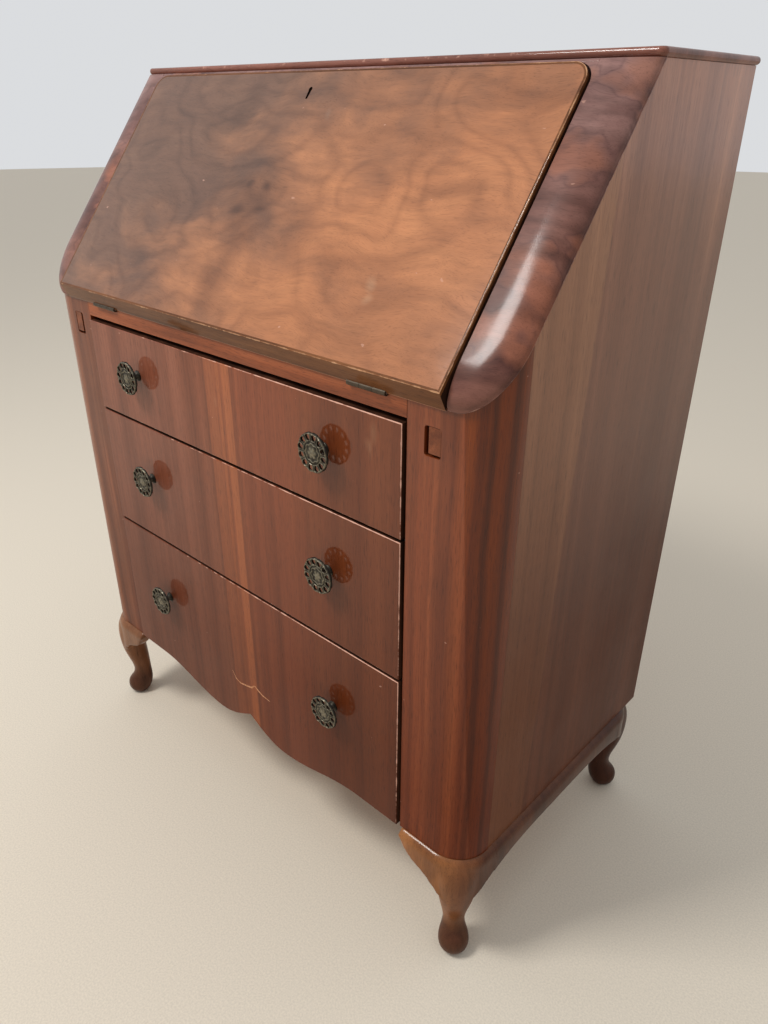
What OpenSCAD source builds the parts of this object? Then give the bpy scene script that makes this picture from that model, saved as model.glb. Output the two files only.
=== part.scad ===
// Slant-front secretary desk: a fall-front writing compartment over three drawers, on cabriole legs.
// All lengths are in millimetres. Design axes: +X to the right seen from the front, +Y to the back,
// +Z up. y = 0 is the front face of the stiles. place() moves the design so that the origin is the
// middle of the footprint on the floor.

/* [Carcass] */
// Height to the top of the top board
desk_h = 990; // [985:1:1000]
// Width over the side panels
carcass_w = 764; // [750:2:780]
// Depth from the front of the stiles to the back of the side panels
carcass_d = 410; // [400:2:430]
// Thickness of the side panels, stiles, writing board and bottom board
panel_t = 16; // [14:1:18]
// Thickness of the top board
top_t = 8; // [7:1:9]
// Radius of the vertical front corners
corner_r = 45; // [35:1:50]
// Height of the underside of the carcass above the floor
carcass_z = 168; // [165:1:172]
// Height of the writing surface
writing_z = 713; // [710:1:716]
// Width of the front stiles
stile_w = 99; // [95:1:102]

/* [Slope] */
// Angle of the closed fall above horizontal
slope = 52; // [51:0.5:53]
// Thickness of the fall
fall_t = 19.5; // [18:0.5:20]
// Half the width of the fall
fall_half_w = 329; // [326:1:330]
// Length of the fall's outer face, up the slope
fall_len = 315; // [310:1:316]
// Radius of the two top corners of the fall
fall_corner_r = 18; // [5:1:30]
// How far the slope borders lie below the outer face of the fall
border_drop = 4; // [3:0.5:5]

/* [Drawers] */
// Height of the top edge of the upper drawer front
drawer_top = 689; // [685:0.5:690]
// Height of the upper drawer front, gap included
upper_drawer_h = 124; // [110:0.5:135]
// Height of the middle drawer front, gap included
middle_drawer_h = 174.5; // [160:0.5:185]
// Half the width of the drawer fronts
drawer_half_w = 280.4; // [278:0.2:281]
// Thickness of the drawer fronts
drawer_front_t = 18; // [16:1:18]
// How far the drawer fronts stand forward of the stiles
drawer_proud = 3.6; // [2:0.2:5]
// Distance of each knob from the centre line
knob_x = 175; // [150:1:200]
// Height of a knob as a share of its drawer front
knob_share = 0.56; // [0.45:0.01:0.6]
// Radius of the pierced rosette of a knob
rosette_r = 22; // [18:0.5:24]

/* [Lopers] */
// Distance of a loper's centre from the centre line
loper_x = 314; // [312:1:316]
// Width of a loper
loper_w = 18.4; // [16:0.2:19]
// Height of a loper
loper_h = 28.2; // [24:0.2:30]
// How far a loper pulls out
loper_travel = 250; // [200:10:260]

/* [Base] */
// How far the base moulding stands out from the carcass
base_out = 7; // [5:1:8]
// How far the rear legs stand out behind the back
rear_out = 5; // [4:0.5:6]
// Height of the base rails
base_h = 30; // [26:1:34]

/* [Hidden] */

veneer = "#8c5238";
fall_wood = "#a0694b";
border_wood = "#6e4638";
inner_wood = "#b98a5a";
dark_wood = "#4f2e22";
brass_old = "#7d7669";
steel = "#8e8a84";

// Clearance between neighbouring pieces that are only laid together
fit_gap = 0.2;
half_w = carcass_w / 2;
inner_half_w = half_w - panel_t;
top_z = desk_h - top_t;
opening_half_w = half_w - stile_w;
back_t = 6;
back_rebate = 8;
back_y = carcass_d - back_t;

// Hinge axis of the fall, just in front of the writing board's front edge
axis_y = -2;
axis_z = writing_z;
// Height over the fall's inner plane of the side panels' slanted edge, and of the border's face
side_edge_n = 4;
border_n = fall_t - border_drop;
border_overhang = 1.5;
border_round = 9;
border_inner_x = fall_half_w + 2.5;
border_plan_front = 12;
// The fall's lower edge slants from the hinge axis to its outer face over this length
fall_bevel = 8.6;
fall_end = fall_bevel + fall_len;
slope_far = 420;

// Rail over the top end of the fall
top_rail_y = 240;
top_rail_z = top_z - 30;
top_rail_gap = 2.4;

rail_h = 18.5;
front_rail_z = writing_z - rail_h;
rail_t = 18;
rail_depth = 40;
guide_in = drawer_half_w + 1;
guide_out = loper_x - loper_w / 2 - 0.9;
guide_z = carcass_z + panel_t;
runner_w = 18;

// Edges between the drawer fronts, top to bottom; the last is the straight lower edge
apron_low = 170;
front_edges = [
    drawer_top, drawer_top - upper_drawer_h,
    drawer_top - upper_drawer_h - middle_drawer_h, apron_low,
];
drawer_gap = 2.4;
drawer_depth = 370;
drawer_side_t = 12;
drawer_bottom_t = 5;
groove = 5;
groove_lift = 7;
front_y = -drawer_proud;
inside_y = front_y + drawer_front_t;

loper_len = 330;
loper_top = writing_z - fall_t - 0.2;
slot_gap = 0.6;
peg_r = 3;

knob_reach = 21.5;
disc_t = 5;
disc_y = 14.3;
bolt_r = 2.4;

hinge_x = 235;
hinge_len = 50;
leaf_w = 14;
leaf_t = 1.5;
knuckle_r = 3;
relief_r = 3.5;
pin_r = 1.2;
screw_r = 1.4;
screw_head_r = 2.6;
screw_len = 10;

lock_x = -13;
lock_half_w = 28;
lock_low = 270;
keyhole_s = 297;
bolt_half_w = 9;
bolt_t = 4.6;
bolt_n = 6.2;
bolt_len = 23;
bolt_throw = 5;
strike_t = 1.2;

shelf_y = 255;
shelf_z = 840;
shelf_t = 10;
divider_t = 8;
divider_pitch = 146;

base_rail_y = 55;
base_dip = 12;

// Cross-sections of a cabriole leg: height, reach outwards and inwards along the diagonal, half width
leg_rings = [
    [0, 22, 2, 13], [4, 31, 5, 17], [9, 34.5, 8, 19], [14, 35, 11, 19.5], [20, 33, 12.5, 18.5],
    [25, 28, 13, 16.5], [32, 19, 13, 14], [41, 15, 12.5, 13.5], [58, 18, 12, 16.5],
    [82, 25, 10, 22], [100, 29, 10, 26], [126, 32, 12, 28], [148, 30, 16, 28],
];
leg_sides = 32;
leg_inset_x = 25;
leg_inset_y = 27;

lock_depth = 10;

axis_gap = -axis_y;
knuckle_step = hinge_len / 3;
knuckle_gap = 0.3;

// The shaped lower edge of the bottom drawer front
notch_z = 172;
lobe_z = 146.5;
lobe_x = 70;
run_out_x = 215;
apron_step = 6;

nosing = 2.5;
top_over_side = 3;
top_over_front = 5;

// y of the point of the slope plane n that lies at height z
function slope_y(z, n) = axis_y + (z - axis_z - n / cos(slope)) / tan(slope);
// [y, z] of the point s up the slope and n over the fall's inner plane
function slope_point(s, n) = [
    axis_y + s * cos(slope) - n * sin(slope),
    axis_z + s * sin(slope) + n * cos(slope)
];
// Upper and lower limit of drawer front i, and the height of its knobs
function front_top(i) = front_edges[i];
function front_low(i) = front_edges[i + 1];
function knob_z(i) = front_low(i) + knob_share * (front_top(i) - front_low(i));

// Moves the design so that the origin is the middle of the footprint
module place() {
    translate([0, (drawer_proud + knob_reach - carcass_d - rear_out) / 2, 0])
    children();
}

// A box from its two corners
module box(low, high) {
    translate(low)
    cube(high - low);
}

// Extrudes a [y, z] outline along X
module along_x(x0, x1) {
    translate([x0, 0, 0])
    rotate([90, 0, 90])
    linear_extrude(height = x1 - x0)
    children();
}

// Puts children with local y up the slope and local z out of the fall's face
module on_slope() {
    translate([0, axis_y, axis_z])
    rotate([slope, 0, 0])
    children();
}

// Mirrors a right-hand piece for the left side
module on_side(side) {
    if (side > 0) {
        children();
    } else {
        mirror([1, 0, 0])
        children();
    }
}

// Plan outline with rounded front corners, out from the carcass by out and starting at front
module plan(out, front, r) {
    w = half_w + out;
    difference() {
        translate([-w, front])
        square([2 * w, carcass_d - front]);
        for (side = [-1, 1]) {
            difference() {
                translate([side > 0 ? w - r : -w - 1, front - 1])
                square([r + 1, r + 1]);
                translate([side * (w - r), front + r])
                circle(r = r, $fn = 96);
            }
        }
    }
}

// Everything under the slope plane n
module under_slope(n) {
    on_slope()
    box([-half_w - 20, -slope_far, n - 900], [half_w + 20, 2 * slope_far, n]);
}

module top_board() {
    x1 = half_w + top_over_side;
    y0 = slope_y(top_z, side_edge_n) - top_over_front;
    color(border_wood)
    place()
    intersection() {
        along_x(-x1, x1)
        polygon([[y0 + nosing, top_z], [carcass_d, top_z], [carcass_d, desk_h],
            [y0 + nosing, desk_h], [y0, desk_h - nosing], [y0, top_z + nosing]]);
        translate([0, carcass_d, 0])
        rotate([90, 0, 0])
        linear_extrude(height = carcass_d)
        polygon([[-x1 + nosing, top_z], [x1 - nosing, top_z], [x1, top_z + nosing],
            [x1, desk_h - nosing], [x1 - nosing, desk_h], [-x1 + nosing, desk_h],
            [-x1, desk_h - nosing], [-x1, top_z + nosing]]);
    }
}

module side_panel(side) {
    color(veneer)
    place()
    on_side(side)
    difference() {
        intersection() {
            box([inner_half_w, corner_r, carcass_z], [half_w, carcass_d, top_z]);
            under_slope(side_edge_n);
        }
        box([inner_half_w - 1, back_y, carcass_z - 1],
            [inner_half_w + back_rebate, carcass_d + 1, top_z + 1]);
    }
}

// Front stile with the rounded corner of the carcass, and the mouth of the loper
module stile(side) {
    slot_w = loper_w / 2 + slot_gap;
    color(veneer)
    place()
    on_side(side)
    difference() {
        intersection() {
            translate([0, 0, carcass_z])
            linear_extrude(height = top_z - carcass_z)
            difference() {
                plan(0, 0, corner_r);
                plan(-panel_t, panel_t, corner_r - panel_t);
            }
            box([opening_half_w, -1, carcass_z], [half_w, corner_r, top_z]);
            under_slope(side_edge_n);
        }
        box([0, -1, writing_z], [border_inner_x, panel_t + 1, top_z]);
        box([loper_x - slot_w, -1, loper_top - loper_h - slot_gap],
            [loper_x + slot_w, panel_t + 1, loper_top + slot_gap]);
    }
}

// Veneered border beside the fall, lying on the side panel's slanted edge
module slope_border(side) {
    x1 = half_w + border_overhang;
    color(border_wood)
    place()
    on_side(side)
    intersection() {
        translate([0, 0, writing_z])
        linear_extrude(height = top_z - writing_z)
        plan(border_overhang, -border_plan_front, corner_r);
        on_slope()
        translate([0, slope_far, 0])
        rotate([90, 0, 0])
        linear_extrude(height = 2 * slope_far)
        difference() {
            translate([border_inner_x, side_edge_n])
            square([x1 - border_inner_x, border_n - side_edge_n]);
            difference() {
                translate([x1 - border_round, border_n - border_round])
                square(border_round + 1);
                translate([x1 - border_round, border_n - border_round])
                circle(r = border_round, $fn = 64);
            }
        }
        on_slope()
        along_x(0, half_w + 20)
        polygon([[0, 0], [fall_bevel, fall_t], [slope_far, fall_t], [slope_far, 0]]);
    }
}

// Rail that closes the slope over the fall, with the pocket for the lock bolt
module slope_top_rail() {
    s0 = fall_end + top_rail_gap;
    behind = -0.5;
    color(border_wood)
    place()
    difference() {
        union() {
            along_x(-border_inner_x + 0.1, border_inner_x - 0.1)
            polygon([slope_point(s0, behind), slope_point(s0, border_n),
                [slope_y(top_z, border_n), top_z], [top_rail_y, top_z],
                [top_rail_y, top_rail_z], [slope_y(top_rail_z, behind), top_rail_z]]);
            along_x(-inner_half_w, inner_half_w)
            polygon([[slope_y(top_z, behind), top_z], [top_rail_y, top_z],
                [top_rail_y, top_rail_z], [slope_y(top_rail_z, behind), top_rail_z]]);
        }
        on_slope()
        box([lock_x - bolt_half_w - 1, s0 - 1, bolt_n - bolt_t / 2 - 0.4],
            [lock_x + bolt_half_w + 1, s0 + bolt_throw + 0.5, bolt_n + bolt_t / 2 + 0.4]);
        on_slope()
        box([lock_x - lock_half_w + 6, s0 - 1, 1],
            [lock_x + lock_half_w - 6, s0 + strike_t, 11.5]);
    }
}

// Brass plate let into the rail, which the lock bolt enters
module lock_strike() {
    s0 = fall_end + top_rail_gap;
    color(brass_old)
    place()
    on_slope()
    difference() {
        box([lock_x - lock_half_w + 6, s0, 1], [lock_x + lock_half_w - 6, s0 + strike_t, 11.5]);
        box([lock_x - bolt_half_w - 1, s0 - 1, bolt_n - bolt_t / 2 - 0.4],
            [lock_x + bolt_half_w + 1, s0 + strike_t + 1, bolt_n + bolt_t / 2 + 0.4]);
    }
}

// Strip inside the slope that carries the border and stops the closed fall
module fall_stop(side) {
    color(inner_wood)
    place()
    on_side(side)
    intersection() {
        translate([0, 0, writing_z])
        linear_extrude(height = top_rail_z - writing_z)
        plan(-panel_t - fit_gap, panel_t + fit_gap, corner_r - panel_t - fit_gap);
        on_slope()
        translate([0, slope_far, 0])
        rotate([90, 0, 0])
        linear_extrude(height = slope_far - 30)
        polygon([[border_inner_x, side_edge_n], [border_inner_x, -fit_gap], [312, -fit_gap],
            [312, -18], [half_w, -18], [half_w, side_edge_n]]);
    }
}

module front_rail() {
    color(fall_wood)
    place()
    difference() {
        box([-opening_half_w, 0, front_rail_z], [opening_half_w, panel_t, writing_z]);
        for (x = [-hinge_x, hinge_x]) {
            translate([x, 0, 0]) {
                hinge_relief();
                box([-hinge_len / 2, -1, writing_z - leaf_t], [hinge_len / 2, leaf_w, writing_z + 1]);
                bed_screw_places()
                cylinder(r = screw_r, h = 2 * screw_len, center = true, $fn = 32);
            }
        }
    }
}

// Round clearance about the hinge axis, in design axes
module hinge_relief() {
    translate([-hinge_len / 2 - 0.5, axis_y, axis_z])
    rotate([0, 90, 0])
    cylinder(r = relief_r, h = hinge_len + 1, $fn = 64);
}

module writing_board() {
    color(inner_wood)
    place()
    intersection() {
        translate([0, 0, writing_z - panel_t])
        linear_extrude(height = panel_t)
        plan(-panel_t - fit_gap, panel_t, corner_r - panel_t);
        box([-half_w, panel_t, 0], [half_w, back_y, desk_h]);
    }
}

module back_panel() {
    x1 = inner_half_w + back_rebate - fit_gap;
    color(dark_wood)
    place()
    box([-x1, back_y, carcass_z], [x1, carcass_d, top_z]);
}

module bottom_board() {
    color(inner_wood)
    place()
    intersection() {
        translate([0, 0, carcass_z])
        linear_extrude(height = panel_t)
        plan(-panel_t - fit_gap, panel_t, corner_r - panel_t);
        box([-half_w, panel_t, 0], [half_w, back_y, desk_h]);
    }
}

// Rail between two drawers, behind their fronts
module drawer_rail(i) {
    z = front_low(i);
    color(inner_wood)
    place()
    box([-guide_in, panel_t, z - rail_t / 2], [guide_in, panel_t + rail_depth, z + rail_t / 2]);
}

// Upright board beside the drawers; the loper runs along its outer face
module drawer_guide(side) {
    color(inner_wood)
    place()
    on_side(side)
    box([guide_in, panel_t, guide_z], [guide_out, back_y, writing_z - panel_t]);
}

// Two strips on the guides that carry the sides of a drawer
module drawer_runners(i) {
    z = front_low(i);
    color(inner_wood)
    place()
    for (side = [-1, 1]) {
        on_side(side)
        box([guide_in - runner_w, panel_t + rail_depth, z - rail_t / 2],
            [guide_in, back_y, z + rail_t / 2]);
    }
}

// Ledge and outer fence that guide a loper
module loper_guide(side) {
    z0 = loper_top - loper_h - fit_gap;
    x1 = loper_x + loper_w / 2 + 0.7;
    color(inner_wood)
    place()
    on_side(side)
    along_y(panel_t, back_y)
    polygon([[guide_out, z0 - 12], [x1 + 10, z0 - 12], [x1 + 10, z0 + 15], [x1, z0 + 15],
        [x1, z0], [guide_out, z0]]);
}

// Extrudes an [x, z] outline along Y
module along_y(y0, y1) {
    translate([0, y1, 0])
    rotate([90, 0, 0])
    linear_extrude(height = y1 - y0)
    children();
}

module loper(side) {
    x0 = loper_x - loper_w / 2;
    x1 = loper_x + loper_w / 2;
    peg_y = panel_t + peg_r + loper_travel + 1;
    color(veneer)
    place()
    on_side(side)
    difference() {
        union() {
            box([x0, 0.4, loper_top - loper_h], [x1, loper_len, loper_top]);
            translate([x1 - 1, peg_y, loper_top - 8])
            rotate([0, 90, 0])
            cylinder(r = peg_r, h = 8, $fn = 48);
        }
        // Finger groove on the inner side, near the front end
        box([x0 - 1, 8, loper_top - loper_h + 6], [x0 + 4, 20, loper_top - 6]);
    }
}

module pigeonhole_shelf() {
    color(inner_wood)
    place()
    box([-inner_half_w, shelf_y, shelf_z], [inner_half_w, back_y, shelf_z + shelf_t]);
}

module pigeonhole_divider(i) {
    x = (i - 2.5) * divider_pitch;
    color(inner_wood)
    place()
    box([x - divider_t / 2, shelf_y + 3, writing_z], [x + divider_t / 2, back_y, shelf_z]);
}

// Side rail of the base, with a sloped upper edge and a lower edge that drops towards the legs
module base_rail(side) {
    color(dark_wood)
    place()
    on_side(side)
    intersection() {
        along_y(base_rail_y, carcass_d - base_rail_y)
        polygon([[half_w - 20, carcass_z], [half_w + 1, carcass_z], [half_w + base_out, carcass_z - 7],
            [half_w + base_out, 100], [half_w - 20, 100]]);
        along_x(0, desk_h)
        polygon(concat([[base_rail_y, carcass_z]],
            [for (y = [base_rail_y : 12 : carcass_d - base_rail_y]) [y, base_edge_z(y)]],
            [[carcass_d - base_rail_y, carcass_z]]));
    }
}

// Lower edge of a side rail: level in the middle and dropping towards the legs
function base_edge_z(y) =
    carcass_z - base_h - base_dip * pow(abs(y - carcass_d / 2) / (carcass_d / 2 - base_rail_y), 4);

module base_rail_back() {
    x1 = half_w - base_rail_y;
    color(dark_wood)
    place()
    box([-x1, carcass_d - 22, carcass_z - base_h], [x1, carcass_d - 4, carcass_z]);
}

// The swept part of a leg about its centre line, with its toe along +X
module leg_sweep() {
    rings = len(leg_rings);
    points = [for (ring = leg_rings, k = [0 : leg_sides - 1])
        [(ring[1] - ring[2]) / 2 + (ring[1] + ring[2]) / 2 * cos(360 * k / leg_sides),
            ring[3] * sin(360 * k / leg_sides), ring[0]]];
    walls = [for (j = [0 : rings - 2], k = [0 : leg_sides - 1])
        let (a = j * leg_sides, b = a + leg_sides, m = (k + 1) % leg_sides)
        [a + k, b + k, b + m, a + m]];
    sole = [for (k = [0 : leg_sides - 1]) k];
    crown = [for (k = [leg_sides - 1 : -1 : 0]) (rings - 1) * leg_sides + k];
    polyhedron(points = points, faces = concat(walls, [sole], [crown]), convexity = 4);
}

// Cabriole leg with its knee block and the brackets glued beside the knee
module leg(side, front) {
    x = half_w - leg_inset_x;
    color(dark_wood)
    place()
    on_side(side)
    translate([0, front ? 0 : carcass_d, 0])
    mirror([0, front ? 0 : 1, 0])
    intersection() {
        union() {
            translate([x, leg_inset_y, 0])
            rotate([0, 0, -45])
            leg_sweep();
            knee_block(front);
        }
        box([0, front ? -base_out : -rear_out, 0], [half_w + base_out, carcass_d, carcass_z]);
    }
}

// Corner of the base over a leg, ending in a bracket that tapers along the front
module knee_block(front) {
    r = corner_r + base_out;
    x0 = half_w + base_out - r;
    y0 = front ? -base_out : 0;
    reach = front ? opening_half_w + 7 : x0;
    intersection() {
        difference() {
            translate([0, 0, carcass_z - 40])
            linear_extrude(height = 40)
            difference() {
                translate([reach, y0])
                square([half_w + base_out - reach, base_rail_y - y0]);
                difference() {
                    translate([x0, y0 - 1])
                    square([r + 1, r + 1]);
                    translate([x0, y0 + r])
                    circle(r = r, $fn = 64);
                }
            }
            box([0, 18, 0], [half_w - 48, base_rail_y + 1, carcass_z + 1]);
        }
        along_y(y0 - 1, base_rail_y)
        polygon([[reach, carcass_z], [reach, carcass_z - 6], [reach + 6, carcass_z - 20],
            [reach + 17, carcass_z - 34], [reach + 38, carcass_z - 40], [half_w + 20, carcass_z - 40],
            [half_w + 20, carcass_z]]);
    }
}

module fall_board() {
    color(fall_wood)
    place()
    on_slope()
    difference() {
        intersection() {
            along_x(-fall_half_w, fall_half_w)
            polygon([[0, 0], [fall_bevel, fall_t], [fall_end, fall_t], [fall_end, 0]]);
            linear_extrude(height = fall_t)
            difference() {
                translate([-fall_half_w, 0])
                square([2 * fall_half_w, fall_end]);
                for (side = [-1, 1]) {
                    difference() {
                        translate([side > 0 ? fall_half_w - fall_corner_r : -fall_half_w - 1,
                            fall_end - fall_corner_r])
                        square(fall_corner_r + 1);
                        translate([side * (fall_half_w - fall_corner_r), fall_end - fall_corner_r])
                        circle(r = fall_corner_r, $fn = 64);
                    }
                }
            }
        }
        lock_space();
        keyhole();
        for (x = [-hinge_x, hinge_x]) {
            translate([x - hinge_len / 2 - 0.5, 0, 0])
            rotate([0, 90, 0])
            cylinder(r = relief_r, h = hinge_len + 1, $fn = 64);
            translate([x, 0, 0]) {
                box([-hinge_len / 2, 0, -1], [hinge_len / 2, leaf_w + axis_gap, leaf_t]);
                fall_screw_places()
                cylinder(r = screw_r, h = 2 * screw_len, center = true, $fn = 32);
            }
        }
    }
}

// Mortise for the lock in the inner face of the fall, on the slope
module lock_space() {
    box([lock_x - lock_half_w, lock_low, -1], [lock_x + lock_half_w, fall_end + 1, lock_depth]);
}

// Keyhole through the fall: a round eye over a narrow slot
module keyhole() {
    translate([lock_x, keyhole_s + 3, 0])
    cylinder(r = 2.4, h = fall_t + 1, $fn = 32);
    box([lock_x - 1.3, keyhole_s - 8, 3], [lock_x + 1.3, keyhole_s + 3, fall_t + 1]);
}

module lock_case() {
    color(brass_old)
    place()
    on_slope()
    difference() {
        box([lock_x - lock_half_w, lock_low, 0], [lock_x + lock_half_w, fall_end - 0.3, lock_depth]);
        box([lock_x - bolt_half_w - 0.2, fall_end - bolt_len - 1, bolt_n - bolt_t / 2 - 0.2],
            [lock_x + bolt_half_w + 0.2, fall_end + 1, bolt_n + bolt_t / 2 + 0.2]);
        translate([0, 0, 3])
        keyhole();
    }
}

// Bolt of the lock, flush with the edge of the fall while it is drawn back
module lock_bolt() {
    color(steel)
    place()
    on_slope()
    box([lock_x - bolt_half_w, fall_end - bolt_len, bolt_n - bolt_t / 2],
        [lock_x + bolt_half_w, fall_end - 0.4, bolt_n + bolt_t / 2]);
}

// One knuckle with its bore, from x0 to x1, about the X axis
module knuckle(x0, x1) {
    translate([x0, 0, 0])
    rotate([0, 90, 0])
    difference() {
        cylinder(r = knuckle_r, h = x1 - x0, $fn = 64);
        translate([0, 0, -1])
        cylinder(r = pin_r + 0.05, h = x1 - x0 + 2, $fn = 48);
    }
}

// Screw places in the bed leaf, in design axes, from the middle of a hinge
module bed_screw_places() {
    for (x = [-16, 0, 16]) {
        translate([x, 8.5, writing_z])
        children();
    }
}

// Screw places in the fall leaf, on the slope
module fall_screw_places() {
    for (x = [-16, 0, 16]) {
        translate([x, 10.5, 0])
        children();
    }
}

// Leaves let into the front rail, each with its two outer knuckles
module hinge_bed_leaves() {
    color(brass_old)
    place()
    for (x = [-hinge_x, hinge_x]) {
        translate([x, 0, 0])
        difference() {
            union() {
                box([-hinge_len / 2, axis_y + relief_r, writing_z - leaf_t],
                    [hinge_len / 2, leaf_w, writing_z]);
                for (x0 = [-hinge_len / 2, knuckle_step / 2 + knuckle_gap]) {
                    x1 = x0 + knuckle_step - knuckle_gap;
                    difference() {
                        box([x0, axis_y, writing_z - leaf_t], [x1, axis_y + relief_r + 0.1, writing_z]);
                        bore_at_axis();
                    }
                    translate([0, axis_y, axis_z])
                    knuckle(x0, x1);
                }
            }
            bed_screw_places()
            cylinder(r = screw_head_r + 0.1, h = 4, center = true, $fn = 32);
        }
    }
}

module bore_at_axis() {
    translate([-hinge_len, axis_y, axis_z])
    rotate([0, 90, 0])
    cylinder(r = pin_r + 0.05, h = 2 * hinge_len, $fn = 48);
}

// Leaves let into the fall, each with the middle knuckle
module hinge_fall_leaves() {
    x1 = knuckle_step / 2 - knuckle_gap / 2;
    color(brass_old)
    place()
    on_slope()
    for (x = [-hinge_x, hinge_x]) {
        translate([x, 0, 0])
        difference() {
            union() {
                box([-hinge_len / 2, relief_r, 0], [hinge_len / 2, leaf_w + axis_gap, leaf_t]);
                difference() {
                    box([-x1, 0, 0], [x1, relief_r + 0.1, leaf_t]);
                    translate([-hinge_len, 0, 0])
                    rotate([0, 90, 0])
                    cylinder(r = pin_r + 0.05, h = 2 * hinge_len, $fn = 48);
                }
                knuckle(-x1, x1);
            }
            fall_screw_places()
            cylinder(r = screw_head_r + 0.1, h = 4, center = true, $fn = 32);
        }
    }
}

module hinge_pins() {
    color(steel)
    place()
    for (x = [-hinge_x, hinge_x]) {
        translate([x - hinge_len / 2, axis_y, axis_z])
        rotate([0, 90, 0])
        cylinder(r = pin_r, h = hinge_len, $fn = 48);
    }
}

// Countersunk screw with its head flush at the origin and its shank along -Z
module screw() {
    translate([0, 0, -leaf_t])
    cylinder(r = screw_head_r, h = leaf_t, $fn = 32);
    translate([0, 0, 0.5 - screw_len])
    cylinder(r = screw_r - 0.05, h = screw_len - leaf_t, $fn = 32);
}

module hinge_screws_bed() {
    color(steel)
    place()
    for (x = [-hinge_x, hinge_x]) {
        translate([x, 0, 0])
        bed_screw_places()
        screw();
    }
}

module hinge_screws_fall() {
    color(steel)
    place()
    on_slope()
    for (x = [-hinge_x, hinge_x]) {
        translate([x, 0, 0])
        fall_screw_places()
        mirror([0, 0, 1])
        screw();
    }
}

// How far x is along the run from the lobe's lowest point to the straight edge
function lobe_share(x) = (x - lobe_x) / (run_out_x - lobe_x);
// Lower edge of the bottom drawer front at distance x from the centre line: a pointed notch
// between two lobes that run out to a straight edge
function apron_z(x) =
    x < lobe_x ? notch_z - (notch_z - lobe_z) * sin(90 * x / lobe_x) :
    x < run_out_x ? lobe_z + (apron_low - lobe_z) * (1 - cos(180 * lobe_share(x))) / 2 :
    apron_low;

module drawer_front(i) {
    z1 = front_top(i) - (i > 0 ? drawer_gap / 2 : 0);
    z0 = front_low(i) + drawer_gap / 2;
    color(veneer)
    place()
    difference() {
        if (i < 2) {
            box([-drawer_half_w, front_y, z0], [drawer_half_w, inside_y, z1]);
        } else {
            along_y(front_y, inside_y)
            polygon(concat(
                [[-drawer_half_w, z1], [-drawer_half_w, apron_low]],
                [for (x = [-run_out_x : apron_step : -1]) [x, apron_z(abs(x))]],
                [[0, notch_z]],
                [for (x = [run_out_x : -apron_step : 1]) [run_out_x + 1 - x, apron_z(run_out_x + 1 - x)]],
                [[drawer_half_w, apron_low], [drawer_half_w, z1]]));
        }
        for (x = [-knob_x, knob_x]) {
            translate([x, 0, knob_z(i)])
            rotate([90, 0, 0])
            cylinder(r = bolt_r + 0.1, h = 100, center = true, $fn = 48);
        }
    }
}

// Lowest and highest z of the box behind drawer front i
function box_low(i) = (i < 2 ? front_low(i) + rail_t / 2 : guide_z) + 0.3;
function box_high(i) = i == 0 ? front_rail_z - 8 : front_top(i) - rail_t / 2 - 8;

// The two sides of a drawer, grooved for the bottom
module drawer_sides(i) {
    x1 = drawer_half_w;
    x0 = x1 - drawer_side_t;
    z0 = box_low(i);
    z1 = box_high(i);
    color(inner_wood)
    place()
    for (side = [-1, 1]) {
        on_side(side)
        difference() {
            box([x0, inside_y, z0], [x1, drawer_depth, z1]);
            box([x0 - 1, inside_y - 1, z0 + groove_lift],
                [x0 + groove, drawer_depth + 1, z0 + groove_lift + drawer_bottom_t]);
        }
    }
}

// Back board of a drawer, between its sides and over its bottom
module drawer_back(i) {
    x0 = drawer_half_w - drawer_side_t;
    color(inner_wood)
    place()
    box([-x0, drawer_depth - drawer_side_t, box_low(i) + groove_lift + drawer_bottom_t],
        [x0, drawer_depth, box_high(i) - 8]);
}

module drawer_bottom(i) {
    x1 = drawer_half_w - drawer_side_t + groove - fit_gap;
    z0 = box_low(i) + groove_lift;
    color(inner_wood)
    place()
    box([-x1, inside_y, z0 + fit_gap / 2],
        [x1, drawer_depth, z0 + drawer_bottom_t - fit_gap / 2]);
}

// Pierced rosette on a stem, with its bolt and nut, pointing to -Y from the drawer's face
module knob() {
    rotate([90, 0, 0])
    difference() {
        union() {
            cylinder(r = 7, h = 2, $fn = 64);
            cylinder(r = 5, h = knob_reach, $fn = 64);
            translate([0, 0, disc_y])
            linear_extrude(height = disc_t)
            polygon([for (a = [0 : 5 : 355])
                (rosette_r - 1 + cos(12 * a)) * [cos(a), sin(a)]]);
            translate([0, 0, -drawer_front_t - 8])
            cylinder(r = bolt_r, h = drawer_front_t + 9, $fn = 48);
            translate([0, 0, -drawer_front_t - 4])
            cylinder(r = 5, h = 4, $fn = 6);
        }
        for (k = [0 : 11]) {
            rotate([0, 0, 30 * k + 15])
            translate([rosette_r - 6.5, 0, disc_y - 1])
            cylinder(r = 2.2, h = disc_t + 2, $fn = 24);
        }
        for (k = [0 : 7]) {
            rotate([0, 0, 45 * k])
            translate([9.5, 0, disc_y - 1])
            cylinder(r = 1.8, h = disc_t + 2, $fn = 24);
        }
    }
}

module drawer_knobs(i) {
    color(brass_old)
    place()
    for (x = [-knob_x, knob_x]) {
        translate([x, front_y, knob_z(i)])
        knob();
    }
}

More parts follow.
